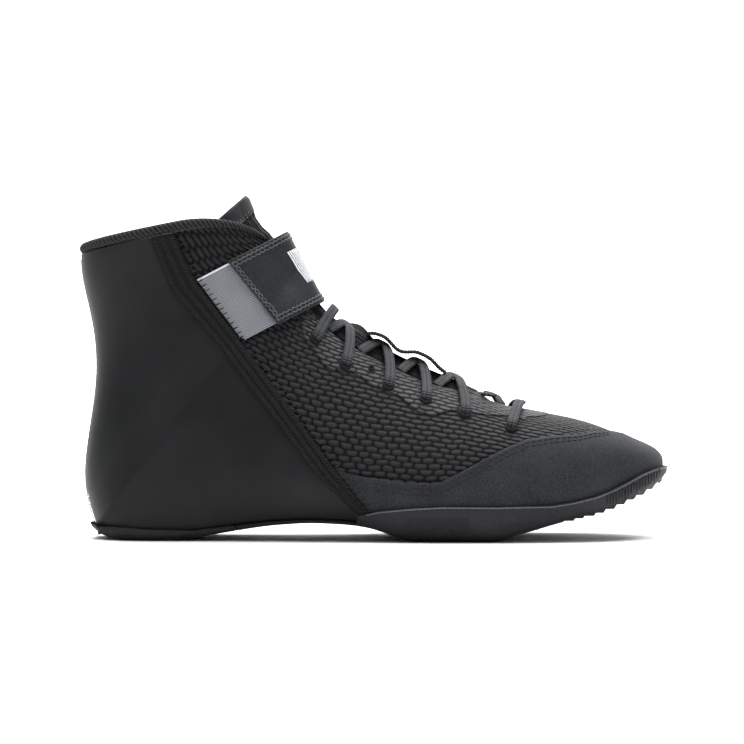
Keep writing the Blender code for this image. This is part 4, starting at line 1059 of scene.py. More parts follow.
@dataclass
class Cup:
    """A sole part under the footbed, with walls up to the rim line where it has any."""

    name: str
    node: str
    low: float
    high: float
    walls: bool
    finish: bpy.types.Material
    slot: str
    rows: int = 240
    ribs: bool = False

    def section(self, share: np.ndarray, at: np.ndarray, last: Last) -> tuple:
        """Points round the section: share runs from the inner rim, under the foot, to the outer."""
        along = last.base_x / LENGTH
        back = np.clip((at - HEEL_STATION) / max(self.high - HEEL_STATION, 1e-6), 0, 1)
        rim = CURVES.read(CURVES.rim, np.minimum(at, HEEL_STATION)) * np.sqrt(1 - back) * self.walls
        side = np.where(share < 0.5, 1, -1)
        reach = np.abs(share - 0.5) * 2
        climb = np.clip((reach - FLOOR_PART) / (1 - FLOOR_PART), 0, 1) * rim
        points = last.points(climb, side)
        over = np.clip(reach / FLOOR_PART, 0, 1)
        flat = reach < FLOOR_PART
        closed = (at <= 1e-6) | (at >= HEEL_STATION - 1e-6)
        y = last.base_y + LAST_ORIGIN[1] + side * over * last.foot
        z = np.where(closed, last.base_z, plate_top(along))
        points[flat, 1] = y[flat]
        points[flat, 2] = z[flat]
        points[flat, 0] = (last.base_x + LAST_ORIGIN[0])[flat]
        return points, flat & ~closed, over, climb

    def lay(self, mesh: bmesh.types.BMesh) -> None:
        """Lays the grid round the foot and marks each point's blend, ground height and way out."""
        uv = mesh.loops.layers.uv.new("UVMap")
        mark = mesh.verts.layers.float.new("flat")
        low = mesh.verts.layers.float.new("low")
        way = mesh.verts.layers.float_vector.new("way")
        grid = bmesh.ops.create_grid(mesh, x_segments=self.rows, y_segments=64, size=0.5)["verts"]
        a = np.clip(np.array([v.co.x + 0.5 for v in grid]), 0, 1)
        b = np.clip(np.array([v.co.y + 0.5 for v in grid]), 0, 1)
        at = stations(a, self.low, self.high)
        last = Last(at)
        points, flat, over, climb = self.section(b, at, last)
        inner, outer = (
            shoe_frames(np.maximum(at, 0.01), np.maximum(climb, 0.01), side)[3] for side in (1, -1)
        )
        outs = np.where((b < 0.5)[:, None], inner, outer)
        along = last.base_x / LENGTH
        bottom = underside(along)
        if self.ribs:
            bottom = bottom + self.rib_steps(along)
        side = np.where(b < 0.5, 1, -1)
        reach = side * np.where(flat, over, 1.0) * last.foot
        spot = {}
        for i, v in enumerate(grid):
            v.co = points[i]
            edge = float(np.clip((over[i] - 0.93) / 0.07, 0, 1)) if flat[i] else 1.0
            v[mark] = edge
            v[low] = float(bottom[i])
            v[way] = outs[i]
            spot[v] = (float(last.base_x[i] / MM), float(reach[i] / MM))
        for face in mesh.faces:
            for loop in face.loops:
                loop[uv].uv = spot[loop.vert]

    def set_down(self, mesh: bmesh.types.BMesh) -> None:
        """Moves the walls out from the foot and the floor down to the ground line."""
        mark = mesh.verts.layers.float["flat"]
        low = mesh.verts.layers.float["low"]
        way = mesh.verts.layers.float_vector["way"]
        moves = []
        for v in mesh.verts:
            blend = v[mark] ** 2
            out = v.co + v[way] * (STACK + RUBBER_WALL)
            down = Vector((v.co.x, v.co.y, v[low]))
            moves.append(down.lerp(out, blend) if v[mark] < 1 else out)
        for v, move in zip(mesh.verts, moves):
            v.co = move
        corner = [v for v in mesh.verts if v.co.x < LAST_ORIGIN[0] + HEEL_CORNER_REACH]
        if corner:
            even_out(mesh, corner, CUP_ROUNDS)

    def build(self) -> bpy.types.Object:
        """Makes the part as a skin whose underside follows the ground line."""
        mesh = bmesh.new()
        self.lay(mesh)
        bmesh.ops.remove_doubles(mesh, verts=mesh.verts[:], dist=WELD)
        mesh.normal_update()
        centre = sum((f.normal * f.calc_area() for f in mesh.faces), Vector())
        if centre.z > 0:
            bmesh.ops.reverse_faces(mesh, faces=mesh.faces[:])
            mesh.normal_update()
        self.set_down(mesh)
        return make_piece(
            self.name, mesh, self.finish, self.slot, replaces=[self.node], wall=RUBBER_WALL
        )

    def rib_steps(self, along: np.ndarray) -> np.ndarray:
        """Saw teeth across the toe's underside, 5 mm apart."""
        pitch = TOE_RIB_PITCH / LENGTH
        phase = ((along - TOE_RIBS[0]) / pitch) % 1
        slope = np.gradient(underside(np.linspace(0, 1, 400)), 1 / 399)
        rise = np.interp(along, np.linspace(0, 1, 400), slope) * pitch
        inside = (along > TOE_RIBS[0]) & (along < TOE_RIBS[1])
        return np.where(inside, (0.5 - phase) * rise, 0.0)


TONGUE_THICKNESS = 0.0038
TONGUE_HALF_WIDTH = 0.034
TONGUE_BULGE = 0.0022
TONGUE_FILL = 0.0020
TONGUE_SOFT = 0.0165
TONGUE_LEAN = 0.0030
TONGUE_RIB_PITCH = 0.0023
LUMP_STATION = 9.05
LUMP_HEIGHT = 0.0048
TONGUE_BINDING_WALL = 0.0005
BINDING_DIAMETER = 0.0050
STRAP_WIDTH = 0.0385
STRAP_STAND_OFF = 0.0040
ELASTIC_THICKNESS = 0.0012
PATCH_GAP = 0.0008
LACE_WIDTH = 0.0050
LACE_THICKNESS = 0.0019
INSOLE_THICKNESS = 0.0035
INSOLE_ENDS = (1.4, 12.05)
TONGUE_START = 3.75
TONGUE_TOP = 22.0
TONGUE_SIDE_DROP = 1.7
BINDING_STATIONS = 1.25
STRAP_SLOPE = 0.54
STRAP_LOW = 0.313
STRAP_REAR_TOP = SideRow(0.2461, 0.7886)
STRAP_REAR_LOW = SideRow(0.3314, 0.6183)
STRAP_INNER_REACH = 0.05
STRAP_MAP_MM = 150
BAR_COUNT = 6
BAR_FRONT = -0.0372
BAR_PITCH = 0.0185
BAR_WIDTH = 0.0112
EYELET_RADIUS = 0.0030
SPARE_HOLE_RADIUS = 0.0015
EYELET_RISE = 0.0004
EYELET_DROP = 0.0015
LACE_RISE = 0.0018
LACE_TUCK = 0.0010
BAR_LEAN = -0.22
HOLES = (*EYELETS, SideRow(0.4916, 0.5001))
STRAND = (
    (-1.0, 0.35), (-0.78, 0.5), (-0.5, 0.8), (-0.25, 1.1), (0.0, 1.2), (0.26, 0.7), (0.5, -0.2),
    (0.66, -0.9),
)
TUCKED = ((-0.44, -0.75), (-0.15, 0.3), (0.0, 0.7)) + STRAND[5:]
BAR = STRAND[:5] + tuple((-across, lift) for across, lift in STRAND[3::-1])
RISE = ((-1.0, 0.35), (-0.74, 0.6), (-0.5, 1.2), (-0.25, 2.0))
TOP = RISE + ((0.0, 2.4),) + tuple((-across, lift) for across, lift in RISE[::-1])


def unit(vectors: np.ndarray) -> np.ndarray:
    """Vectors scaled to length one."""
    return vectors / np.maximum(np.linalg.norm(vectors, axis=-1, keepdims=True), 1e-12)


def shoe_frames(at: np.ndarray, share: np.ndarray, side: float) -> tuple:
    """Points on a side, the way towards the heel, the way up and the way out."""
    step = 0.004
    here = Last(at)
    points = here.points(share, side)
    along = Last(at + step).points(share, side) - Last(at - step).points(share, side)
    over = here.points(share + step, side) - here.points(share - step, side)
    return points, unit(along), unit(over), unit(np.cross(along, over)) * side


def walk(points: np.ndarray, pitch: float, start: float = 0.0) -> np.ndarray:
    """Places every pitch along a run of points, as fractions of its index."""
    steps = np.linalg.norm(np.diff(points, axis=0), axis=1)
    run = np.concatenate([[0], np.cumsum(steps)])
    return np.interp(np.arange(start, run[-1], pitch), run, np.arange(len(points)))


def pick(rows: np.ndarray, where: np.ndarray) -> np.ndarray:
    """Rows of an array read at fractional places."""
    index = np.arange(len(rows))
    if rows.ndim == 1:
        return np.interp(where, index, rows)
    return np.stack([np.interp(where, index, column) for column in rows.T], axis=1)


def place_on_side(row: SideRow) -> tuple:
    """The station and share of a spot given in the side view."""
    at = np.linspace(0.5, TOP_STATION, 2400)
    last = Last(at)
    wide_x = last.crest_x - last.base_x
    wide_z = last.crest_z - last.base_z
    x, z = row.along * LENGTH, row.up * SHAFT_HEIGHT
    miss = (x - last.base_x) * wide_z - (z - last.base_z) * wide_x
    spot = float(np.interp(0, miss, at) if miss[0] < miss[-1] else np.interp(0, -miss, at))
    ring = Last(np.array([spot]))
    up = (z - ring.base_z) / (ring.crest_z - ring.base_z)
    return spot, float(ring.share_at(up)[0])


class Threads:
    """Stitches, each a copy of one small template laid on a surface."""

    def __init__(self, name: str, finish: bpy.types.Material, slot: str) -> None:
        """Makes the template, a thin capsule one unit long."""
        self.name, self.finish, self.slot = name, finish, slot
        template = bmesh.new()
        bmesh.ops.create_uvsphere(template, u_segments=6, v_segments=5, radius=0.5)
        quarter = Matrix.Rotation(math.pi / 2, 3, "Y")
        bmesh.ops.rotate(template, verts=template.verts[:], matrix=quarter)
        self.shape = np.array([v.co[:] for v in template.verts])
        self.faces = [[v.index for v in face.verts] for face in template.faces]
        template.free()
        self.parts: list = []

    def row(self, points: np.ndarray, along: np.ndarray, normal: np.ndarray, size: tuple,
            turn: float = 0.0, zigzag: bool = False, sink: float = 0.3) -> None:
        """Lays a row of stitches.

        Args:
            points: Their middles, on the cloth.
            along: The row's direction at each.
            normal: The way out at each.
            size: Length and width of a stitch, in millimetres.
            turn: How far each turns from the row, in degrees.
            zigzag: Whether every second one turns the other way.
            sink: How deep it lies in the cloth, as a share of its width.
        """
        turns = np.radians(np.full(len(points), turn))
        if zigzag:
            turns[1::2] *= -1
        across = unit(np.cross(normal, along))
        way = along * np.cos(turns)[:, None] + across * np.sin(turns)[:, None]
        side = unit(np.cross(normal, way))
        length, width = size[0] * MM, size[1] * MM
        middle = points + normal * width * (0.5 - sink)
        for i in range(len(points)):
            self.parts.append(
                middle[i]
                + np.outer(self.shape[:, 0] * length, way[i])
                + np.outer(self.shape[:, 1] * width, side[i])
                + np.outer(self.shape[:, 2] * width, normal[i])
            )

    def build(self) -> None:
        """Joins the stitches into one piece."""
        data = bpy.data.meshes.new("stitches")
        count = len(self.shape)
        starts = range(0, count * len(self.parts), count)
        faces = [[start + v for v in face] for start in starts for face in self.faces]
        data.from_pydata(np.concatenate(self.parts).tolist(), [], faces)
        mesh = bmesh.new()
        mesh.from_mesh(data)
        bpy.data.meshes.remove(data)
        make_piece(self.name, mesh, self.finish, self.slot)


@dataclass
class Cord:
    """A cord, tape or strand swept along a path."""

    centre: np.ndarray
    up: np.ndarray
    half_width: float
    half_height: float
    power: float = 1.0
    ripple: float = 0.0
    ripple_mm: float = 1.7
    twist: float = 2.0
    narrow: Optional[np.ndarray] = None

    def place(self, a: np.ndarray, b: np.ndarray) -> tuple:
        """The cord's skin: a runs along it and b goes round it."""
        tangent = unit(np.gradient(self.centre, axis=0))
        right = unit(np.cross(tangent, self.up))
        up = np.cross(right, tangent)
        steps = np.linalg.norm(np.diff(self.centre, axis=0), axis=1)
        run = np.concatenate([[0], np.cumsum(steps)])
        where = np.interp(a * run[-1], run, np.arange(len(run)))
        angle = b * math.tau
        cos, sin = np.cos(angle), np.sin(angle)
        wide = np.sign(cos) * np.abs(cos) ** self.power * self.half_width
        high = np.sign(sin) * np.abs(sin) ** self.power * self.half_height
        size = np.ones(len(a)) if self.narrow is None else np.interp(
            a, np.linspace(0, 1, len(self.narrow)), self.narrow)
        end = np.clip(np.minimum(a, 1 - a) * run[-1] / self.half_height, 0, 1)
        size = size * np.sqrt(1 - (1 - end) ** 2)
        phase = a * run[-1] / (self.ripple_mm * MM) * math.tau
        size = size * (1 + self.ripple * np.cos(phase + self.twist * angle))
        points = (
            pick(self.centre, where)
            + pick(right, where) * (wide * size)[:, None]
            + pick(up, where) * (high * size)[:, None]
        )
        flat = np.stack([a * run[-1] / MM, b * 4 * self.half_width / MM], axis=1)
        return points, np.zeros(len(a)), flat

    def build(self, name: str, finish: bpy.types.Material, slot: str, columns: int, rows: int,
              replaces: Sequence[str] = ()) -> None:
        """Makes the cord as one piece."""
        skin = Skin(name)
        skin.add(columns, rows, self.place)
        skin.piece(finish, slot, replaces=replaces)


class OverlockSeam(Maker):
    """The overlocked band on the heel shell's front edge and the zigzag down the heel's back."""

    def build(self) -> None:
        """Makes the tapes and their stitches."""
        tape = Skin("seam_tape")
        for side in Side:
            tape.add(300, 8, self.band(side), flip=side is Side.OUTER)
        tape.piece(self.finishes.tape, "binding_cloth", wall=0.0005, outward=True)
        threads = Threads("overlock_threads", self.finishes.dark_thread, "binding_cloth")
        for side in Side:
            self.sew(threads, side)
        threads.build()

    def band(self, side: Side) -> Placing:
        """Places the tape beside the shell's edge."""

        def place(a: np.ndarray, b: np.ndarray) -> tuple:
            """A strip 7.8 mm wide on the shell, up to its front edge."""
            at = stations(a, 7.0, 19.7)
            last = Last(at)
            inset = (b - 1) * SEAM_BAND_WIDTH * (1 - last.turn) / last.upper_arc
            share = CURVES.read(CURVES.seam, at) + inset
            share = np.clip(share, 0.004, CURVES.read(CURVES.throat, at))
            points = last.points(share, side.value)
            return points, np.full(len(a), SEAM_BAND_LIFT), flat_map(points)

        return place

    def sew(self, threads: Threads, side: Side) -> None:
        """Lays the loops that cross the tape, and the zigzag down the back."""
        at = np.linspace(7.1, 19.6, 900)
        last = Last(at)
        per_mm = MM * (1 - last.turn) / last.upper_arc
        seam = CURVES.read(CURVES.seam, at)
        for offset, size, turn, pitch, start in (
            (-6.5, (3.0, 0.6), 62, 0.00115, 0.0),
            (-3.9, (3.2, 0.65), -58, 0.00115, 0.0006),
            (-1.3, (3.0, 0.6), 62, 0.00115, 0.0003),
            (1.4, (3.0, 0.6), 80, 0.0028, 0.0004),
        ):
            share = np.maximum(seam + offset * per_mm, 0.006)
            line = last.points(share, side.value)
            where = walk(line, pitch, start)
            spots, _, _, normal = shoe_frames(pick(at, where), pick(share, where), side.value)
            along = unit(np.gradient(spots, axis=0))
            lift = SEAM_BAND_LIFT + 0.0006
            threads.row(spots + normal * lift, along, normal, size, turn, sink=0.4)
        at = np.linspace(13.3, 19.6, 300)
        share = np.full(len(at), 0.012)
        where = walk(Last(at).points(share, side.value), 0.0016)
        spots, along, _, normal = shoe_frames(pick(at, where), pick(share, where), side.value)
        threads.row(spots + normal * 0.0016, along, normal, (2.4, 0.5), 40, zigzag=True)


class ToeStitching(Maker):
    """Two rows of stitches below the toe cover's edge."""

    def build(self) -> None:
        """Lays both rows on both sides."""
        threads = Threads("toe_stitches", self.finishes.dark_thread, "suede")
        at = np.linspace(2.75, 8.4, 600)
        last = Last(at)
        per_mm = MM * (1 - last.turn) / last.upper_arc
        for side in Side:
            for offset in (1.9, 4.1):
                share = CURVES.read(CURVES.wrap, at) - offset * per_mm
                where = walk(last.points(share, side.value), 0.0029)
                spots, _, _, normal = shoe_frames(pick(at, where), pick(share, where), side.value)
                along = unit(np.gradient(spots, axis=0))
                threads.row(spots + normal * (OVERLAY_WALL + GAP), along, normal, (2.3, 0.62))
        threads.build()


class CollarBinding(Maker):
    """The knitted piping that closes the collar's edge."""

    def build(self) -> None:
        """Sweeps the piping from one front corner round the back to the other."""
        rise = np.linspace(16.6, COLLAR_STATION, 160)
        edge = CURVES.read(CURVES.throat, rise)
        round_at = np.full(160, COLLAR_STATION)
        round_share = np.linspace(edge[-1], 0.0005, 160)
        at = np.concatenate([rise, round_at[1:]])
        share = np.concatenate([edge, round_share[1:]])
        outer = self.run(at, share, -1)
        inner = self.run(at, share, 1)
        points = np.concatenate([outer[0], inner[0][::-1][1:]])
        normal = np.concatenate([outer[1], inner[1][::-1][1:]])
        where = walk(points, 0.0015)
        points, normal = pick(points, where), unit(pick(normal, where))
        for _ in range(3):
            points[1:-1] = (points[:-2] + 2 * points[1:-1] + points[2:]) / 4
            normal[1:-1] = (normal[:-2] + 2 * normal[1:-1] + normal[2:]) / 4
        away = unit(np.cross(unit(np.gradient(points, axis=0)), unit(normal)))
        share = np.clip((points[0, 0] - 0.004 - points[:, 0]) / 0.035, 0, 1)
        radius = BINDING_DIAMETER * (0.27 + 0.23 * share)
        centre = points - normal * 0.0004 + away * (radius + GAP)[:, None]
        cord = Cord(
            centre, unit(normal), BINDING_DIAMETER / 2, BINDING_DIAMETER / 2, 1.0, 0.05, 1.25, 2.0,
            radius / radius.max(),
        )
        cord.build(
            "collar_piping", self.finishes.piping, "binding_cloth", 900, 26, ["collar_binding"]
        )

    def run(self, at: np.ndarray, share: np.ndarray, side: int) -> tuple:
        """Edge points and the ways out along one side."""
        points, _, _, normal = shoe_frames(at, share, side)
        return points, normal


class Tongue(Maker):
    """The padded tongue, its bound top and the row that holds the binding."""

    def surface(self, at: np.ndarray, across: np.ndarray) -> tuple:
        """Points on the last over the tongue, how deep they lie, and how far from the crest."""
        last = Last(at)
        run = np.clip((at - TONGUE_START) / (TONGUE_TOP - TONGUE_START), 0, 1)
        far = np.abs(across) * TONGUE_HALF_WIDTH * (0.85 + 0.15 * run)
        points = last.points(last.arc_share(far), np.where(across < 0, -1, 1))
        opened = np.clip((at - THROAT_STATION - 0.4) / 0.8, 0, 1)
        laced = opened * np.clip((17.0 - at) / 3.0, 0, 1)
        bulge = TONGUE_BULGE * opened + TONGUE_FILL * laced
        bulge = bulge * np.clip(1 - (far / TONGUE_SOFT) ** 2, 0, 1)
        sink = 0.0013 * np.clip((at - 17.5) / 1.5, 0, 1)
        sink -= TONGUE_LEAN * np.clip((at - 20.2) / 1.3, 0, 1)
        return points, UPPER_WALL + 0.0012 + sink - bulge, far * np.sign(across)

    def drop(self, across: np.ndarray) -> np.ndarray:
        """How many stations the top edge drops: round at the crest, straight towards the sides."""
        return TONGUE_SIDE_DROP * across**2 / (0.35 + 0.65 * np.abs(across))

    def pad(self, a: np.ndarray, b: np.ndarray) -> tuple:
        """Places the padded part: ribbed from top to bottom, and fullest between two laces."""
        across = 2 * b - 1
        top = TONGUE_TOP - self.drop(across) - BINDING_STATIONS
        at = TONGUE_START + (top - TONGUE_START) * a
        points, depth, far = self.surface(at, across)
        ribs = 0.00024 * np.cos(math.tau * far / TONGUE_RIB_PITCH + 0.6 * np.sin(at * 3))
        near = ((at - LUMP_STATION) / 0.55) ** 2
        lump = LUMP_HEIGHT * np.exp(-near - (far / 0.010) ** 2)
        flat = np.stack([far / MM, at * 7.0], axis=1)
        return points, ribs + lump - depth, flat

    def band(self, a: np.ndarray, b: np.ndarray) -> tuple:
        """Places the smooth binding over the top edge."""
        across = 2 * b - 1
        top = TONGUE_TOP - self.drop(across)
        at = top - BINDING_STATIONS * (1 - a) - 0.05
        points, depth, far = self.surface(at, across)
        round_top = 0.0009 * np.clip((a - 0.85) / 0.15, 0, 1) ** 2
        flat = np.stack([far / MM, a * 7.0], axis=1)
        return points, TONGUE_BINDING_WALL - depth - round_top, flat

    def build(self) -> None:
        """Makes the pad, the binding and its stitches."""
        skin = Skin("tongue_pad")
        skin.add(170, 150, self.pad, flip=True)
        skin.piece(self.finishes.tongue, "tongue_mesh", replaces=["tongue"], wall=TONGUE_THICKNESS,
                   padded=0.6)
        skin = Skin("tongue_band")
        skin.add(16, 70, self.band, flip=True)
        skin.piece(self.finishes.band, "binding_cloth", replaces=["tongue_binding"],
                   wall=TONGUE_THICKNESS + 2 * TONGUE_BINDING_WALL - 0.0016)
        threads = Threads("tongue_stitches", self.finishes.thread, "binding_cloth")
        b = np.linspace(0.04, 0.96, 400)
        for a, size, pitch in ((0.16, (1.9, 0.5), 0.0026), (0.01, (2.4, 0.45), 0.0022)):
            points, lift, _ = self.band(np.full(400, a), b)
            near = self.band(np.full(400, a + 0.05), b)[0]
            along = unit(np.gradient(points, axis=0))
            normal = unit(np.cross(along, near - points))
            normal *= np.sign(normal[:, :1])
            line = points + normal * lift[:, None]
            where = walk(line, pitch)
            along, normal = unit(pick(along, where)), unit(pick(normal, where))
            threads.row(pick(line, where), along, normal, size)
        threads.build()


class Strap(Maker):
    """The ankle strap with its stitched border and bars, the elastic and the loop patch."""

    thickness = 0.0017

    def __init__(self, finishes: Finishes) -> None:
        """Works out where the strap's end and the seam lie across its width."""
        super().__init__(finishes)
        self.marks = np.linspace(0, 1, 25)
        self.rear = self.rear_share(self.marks)
        self.seam = self.seam_share(self.marks)

    def levels(self, across: np.ndarray) -> np.ndarray:
        """Levels of the strap's slanted planes, from its lower edge at 0 to its upper at 1."""
        return STRAP_LOW * SHAFT_HEIGHT + STRAP_WIDTH * math.sqrt(1 + STRAP_SLOPE**2) * across

    def station(self, level: np.ndarray, share: np.ndarray, side: np.ndarray) -> np.ndarray:
        """The station where a share's line passes the plane at this level."""
        low = np.full(len(share), 8.0)
        high = np.full(len(share), TOP_STATION - 0.01)
        for _ in range(22):
            middle = (low + high) / 2
            point = Last(middle).points(share, side) - np.array(LAST_ORIGIN)
            above = point[:, 2] - STRAP_SLOPE * point[:, 0] > level
            high = np.where(above, middle, high)
            low = np.where(above, low, middle)
        return (low + high) / 2

    def rear_share(self, across: np.ndarray) -> np.ndarray:
        """The share of the outer end, which is straight when seen from the side."""
        span = STRAP_REAR_TOP.along - STRAP_REAR_LOW.along
        want = (STRAP_REAR_LOW.along + span * across) * LENGTH + LAST_ORIGIN[0]
        low = np.full(len(across), 0.45)
        high = np.full(len(across), 0.95)
        for _ in range(22):
            middle = (low + high) / 2
            at = self.station(self.levels(across), middle, -1)
            past = Last(at).points(middle, -1)[:, 0] > want
            high = np.where(past, middle, high)
            low = np.where(past, low, middle)
        return (low + high) / 2

    def seam_share(self, across: np.ndarray) -> np.ndarray:
        """The share where each level meets the heel shell's seam."""
        found = []
        share = np.linspace(0.2, 0.8, 240)
        for level in self.levels(across):
            at = self.station(np.full(240, level), share, -1)
            past = share - CURVES.read(CURVES.seam, at)
            found.append(float(np.interp(0, past, share)))
        return np.array(found)

    def place(self, a: np.ndarray, b: np.ndarray) -> tuple:
        """Places the strap from its outer end over the front to its inner end."""
        outer = a < 0.5
        run = np.where(outer, 2 * a, 2 - 2 * a)
        rear = np.interp(b, self.marks, self.rear)
        first = np.where(outer, rear, rear - STRAP_INNER_REACH)
        share = first + (1 - first) * run
        side = np.where(outer, -1, 1)
        at = self.station(self.levels(b), share, side)
        points = Last(at).points(share, side)
        bump = np.clip((run - 0.35) / 0.5, 0, 1)
        bump = bump**2 * (3 - 2 * bump)
        front = 0.0010 + (STRAP_STAND_OFF - 0.0010) * b
        under = np.where(outer, 0.0, ELASTIC_THICKNESS + 3 * GAP) * np.clip((1 - run) / 0.3, 0, 1)
        lift = PATCH_GAP + 0.0005 + np.maximum(front * bump, under)
        flat = np.stack([a * STRAP_MAP_MM, b * STRAP_WIDTH / MM], axis=1)
        return points, lift, flat

    def surface(self, a: np.ndarray, b: np.ndarray) -> np.ndarray:
        """Points on the strap's face."""
        points, lift, _ = self.place(a, b)
        step = 1e-3
        along = self.place(a + step, b)[0] - self.place(a - step, b)[0]
        over = self.place(a, b + step)[0] - self.place(a, b - step)[0]
        return points + unit(np.cross(along, over)) * (lift + self.thickness)[:, None]

    def frames(self, a: np.ndarray, b: np.ndarray) -> tuple:
        """Points on the face, the way along a row of them, and the ways out."""
        points = self.surface(a, b)
        step = 2e-3
        over = self.surface(a, b + step) - self.surface(a, b - step)
        run = self.surface(a + step, b) - self.surface(a - step, b)
        return points, unit(np.gradient(points, axis=0)), unit(np.cross(run, over))

    def sew(self, threads: Threads) -> None:
        """Lays two zigzag rows inside every edge."""
        for inset in (1.7, 3.5):
            end = inset / STRAP_MAP_MM
            b = inset / (STRAP_WIDTH / MM)
            long = np.linspace(end, 1 - end, 260)
            short = np.linspace(b, 1 - b, 80)
            for rows in (
                (long, np.full(260, b)), (long, np.full(260, 1 - b)),
                (np.full(80, end), short), (np.full(80, 1 - end), short),
            ):
                points, along, normal = self.frames(*rows)
                where = walk(points, 0.0014)
                threads.row(
                    pick(points, where), unit(pick(along, where)), unit(pick(normal, where)),
                    (2.0, 0.72), 33, zigzag=True,
                )

    def bars(self) -> None:
        """Makes the plain pale bars on the front."""
        spots = np.linspace(0.2, 0.5, 200)
        line = self.surface(spots, np.full(200, 0.5))
        start = float(np.interp(BAR_FRONT, line[:, 0], spots))
        skin = Skin("pale_bars")
        for i in range(BAR_COUNT):
            low = start + i * BAR_PITCH

            def place(a: np.ndarray, b: np.ndarray) -> tuple:
                """One upright bar."""
                along = low + a * BAR_WIDTH
                over = 0.30 + b * 0.46
                points = self.surface(along, over)
                return points, np.full(len(a), 0.00005), np.stack([a, b], axis=1)

            skin.add(3, 14, place)
        skin.piece(self.finishes.reflective, "synthetic", wall=0.00022, outward=True)

    def web(self, name: str, side: int, reach: float) -> None:
        """Makes the elastic, or the patch on the inner side, with a pale strip on its upper edge
        that is a painted highlight.
        """

        def at_place(a: np.ndarray, b: np.ndarray, low: float, lift: float) -> tuple:
            """Between the seam and the strap's end."""
            first = np.interp(b, self.marks, self.seam) + 0.006 + low
            end = np.interp(b, self.marks, self.rear) + reach
            share = first + (end - first) * a
            at = self.station(self.levels(b), share, np.full(len(a), side))
            points = Last(at).points(share, side)
            flat = np.stack([a * 40, b * STRAP_WIDTH / MM], axis=1)
            return points, np.full(len(a), lift), flat

        node = "strap_elastic" if side < 0 else "strap_patch"
        skin = Skin(name)
        skin.add(60, 60, lambda a, b: at_place(a, 0.03 + 0.94 * b, 0.0, 0.0003), flip=side > 0)
        skin.piece(self.finishes.elastic, "elastic", replaces=[node], wall=0.0009, outward=True)
        # The pale strip along the upper edge is a painted highlight.
        edge = Skin(name + "_edge")
        edge.add(60, 3, lambda a, b: at_place(a, 0.955 + 0.022 * b, 0.0, 0.00125), flip=side > 0)
        edge.piece(self.finishes.highlight_edge, "elastic", wall=0.0002, outward=True)

    def build(self) -> None:
        """Makes the strap and what goes with it."""
        skin = Skin("ankle_strap")
        skin.add(200, 34, self.place)
        strap = skin.piece(self.finishes.strap, "synthetic", replaces=["strap"],
                           wall=self.thickness, outward=True, rim=self.finishes.cut_edge)
        bevel = strap.modifiers.new("edge", "BEVEL")
        bevel.width = 0.0003
        bevel.segments = 2
        bevel.limit_method = "ANGLE"
        threads = Threads("strap_stitches", self.finishes.thread, "synthetic")
        self.sew(threads)
        threads.build()
        self.bars()
        self.web("strap_elastic_web", -1, 0.03)
        self.web("strap_loop_web", 1, 0.05)


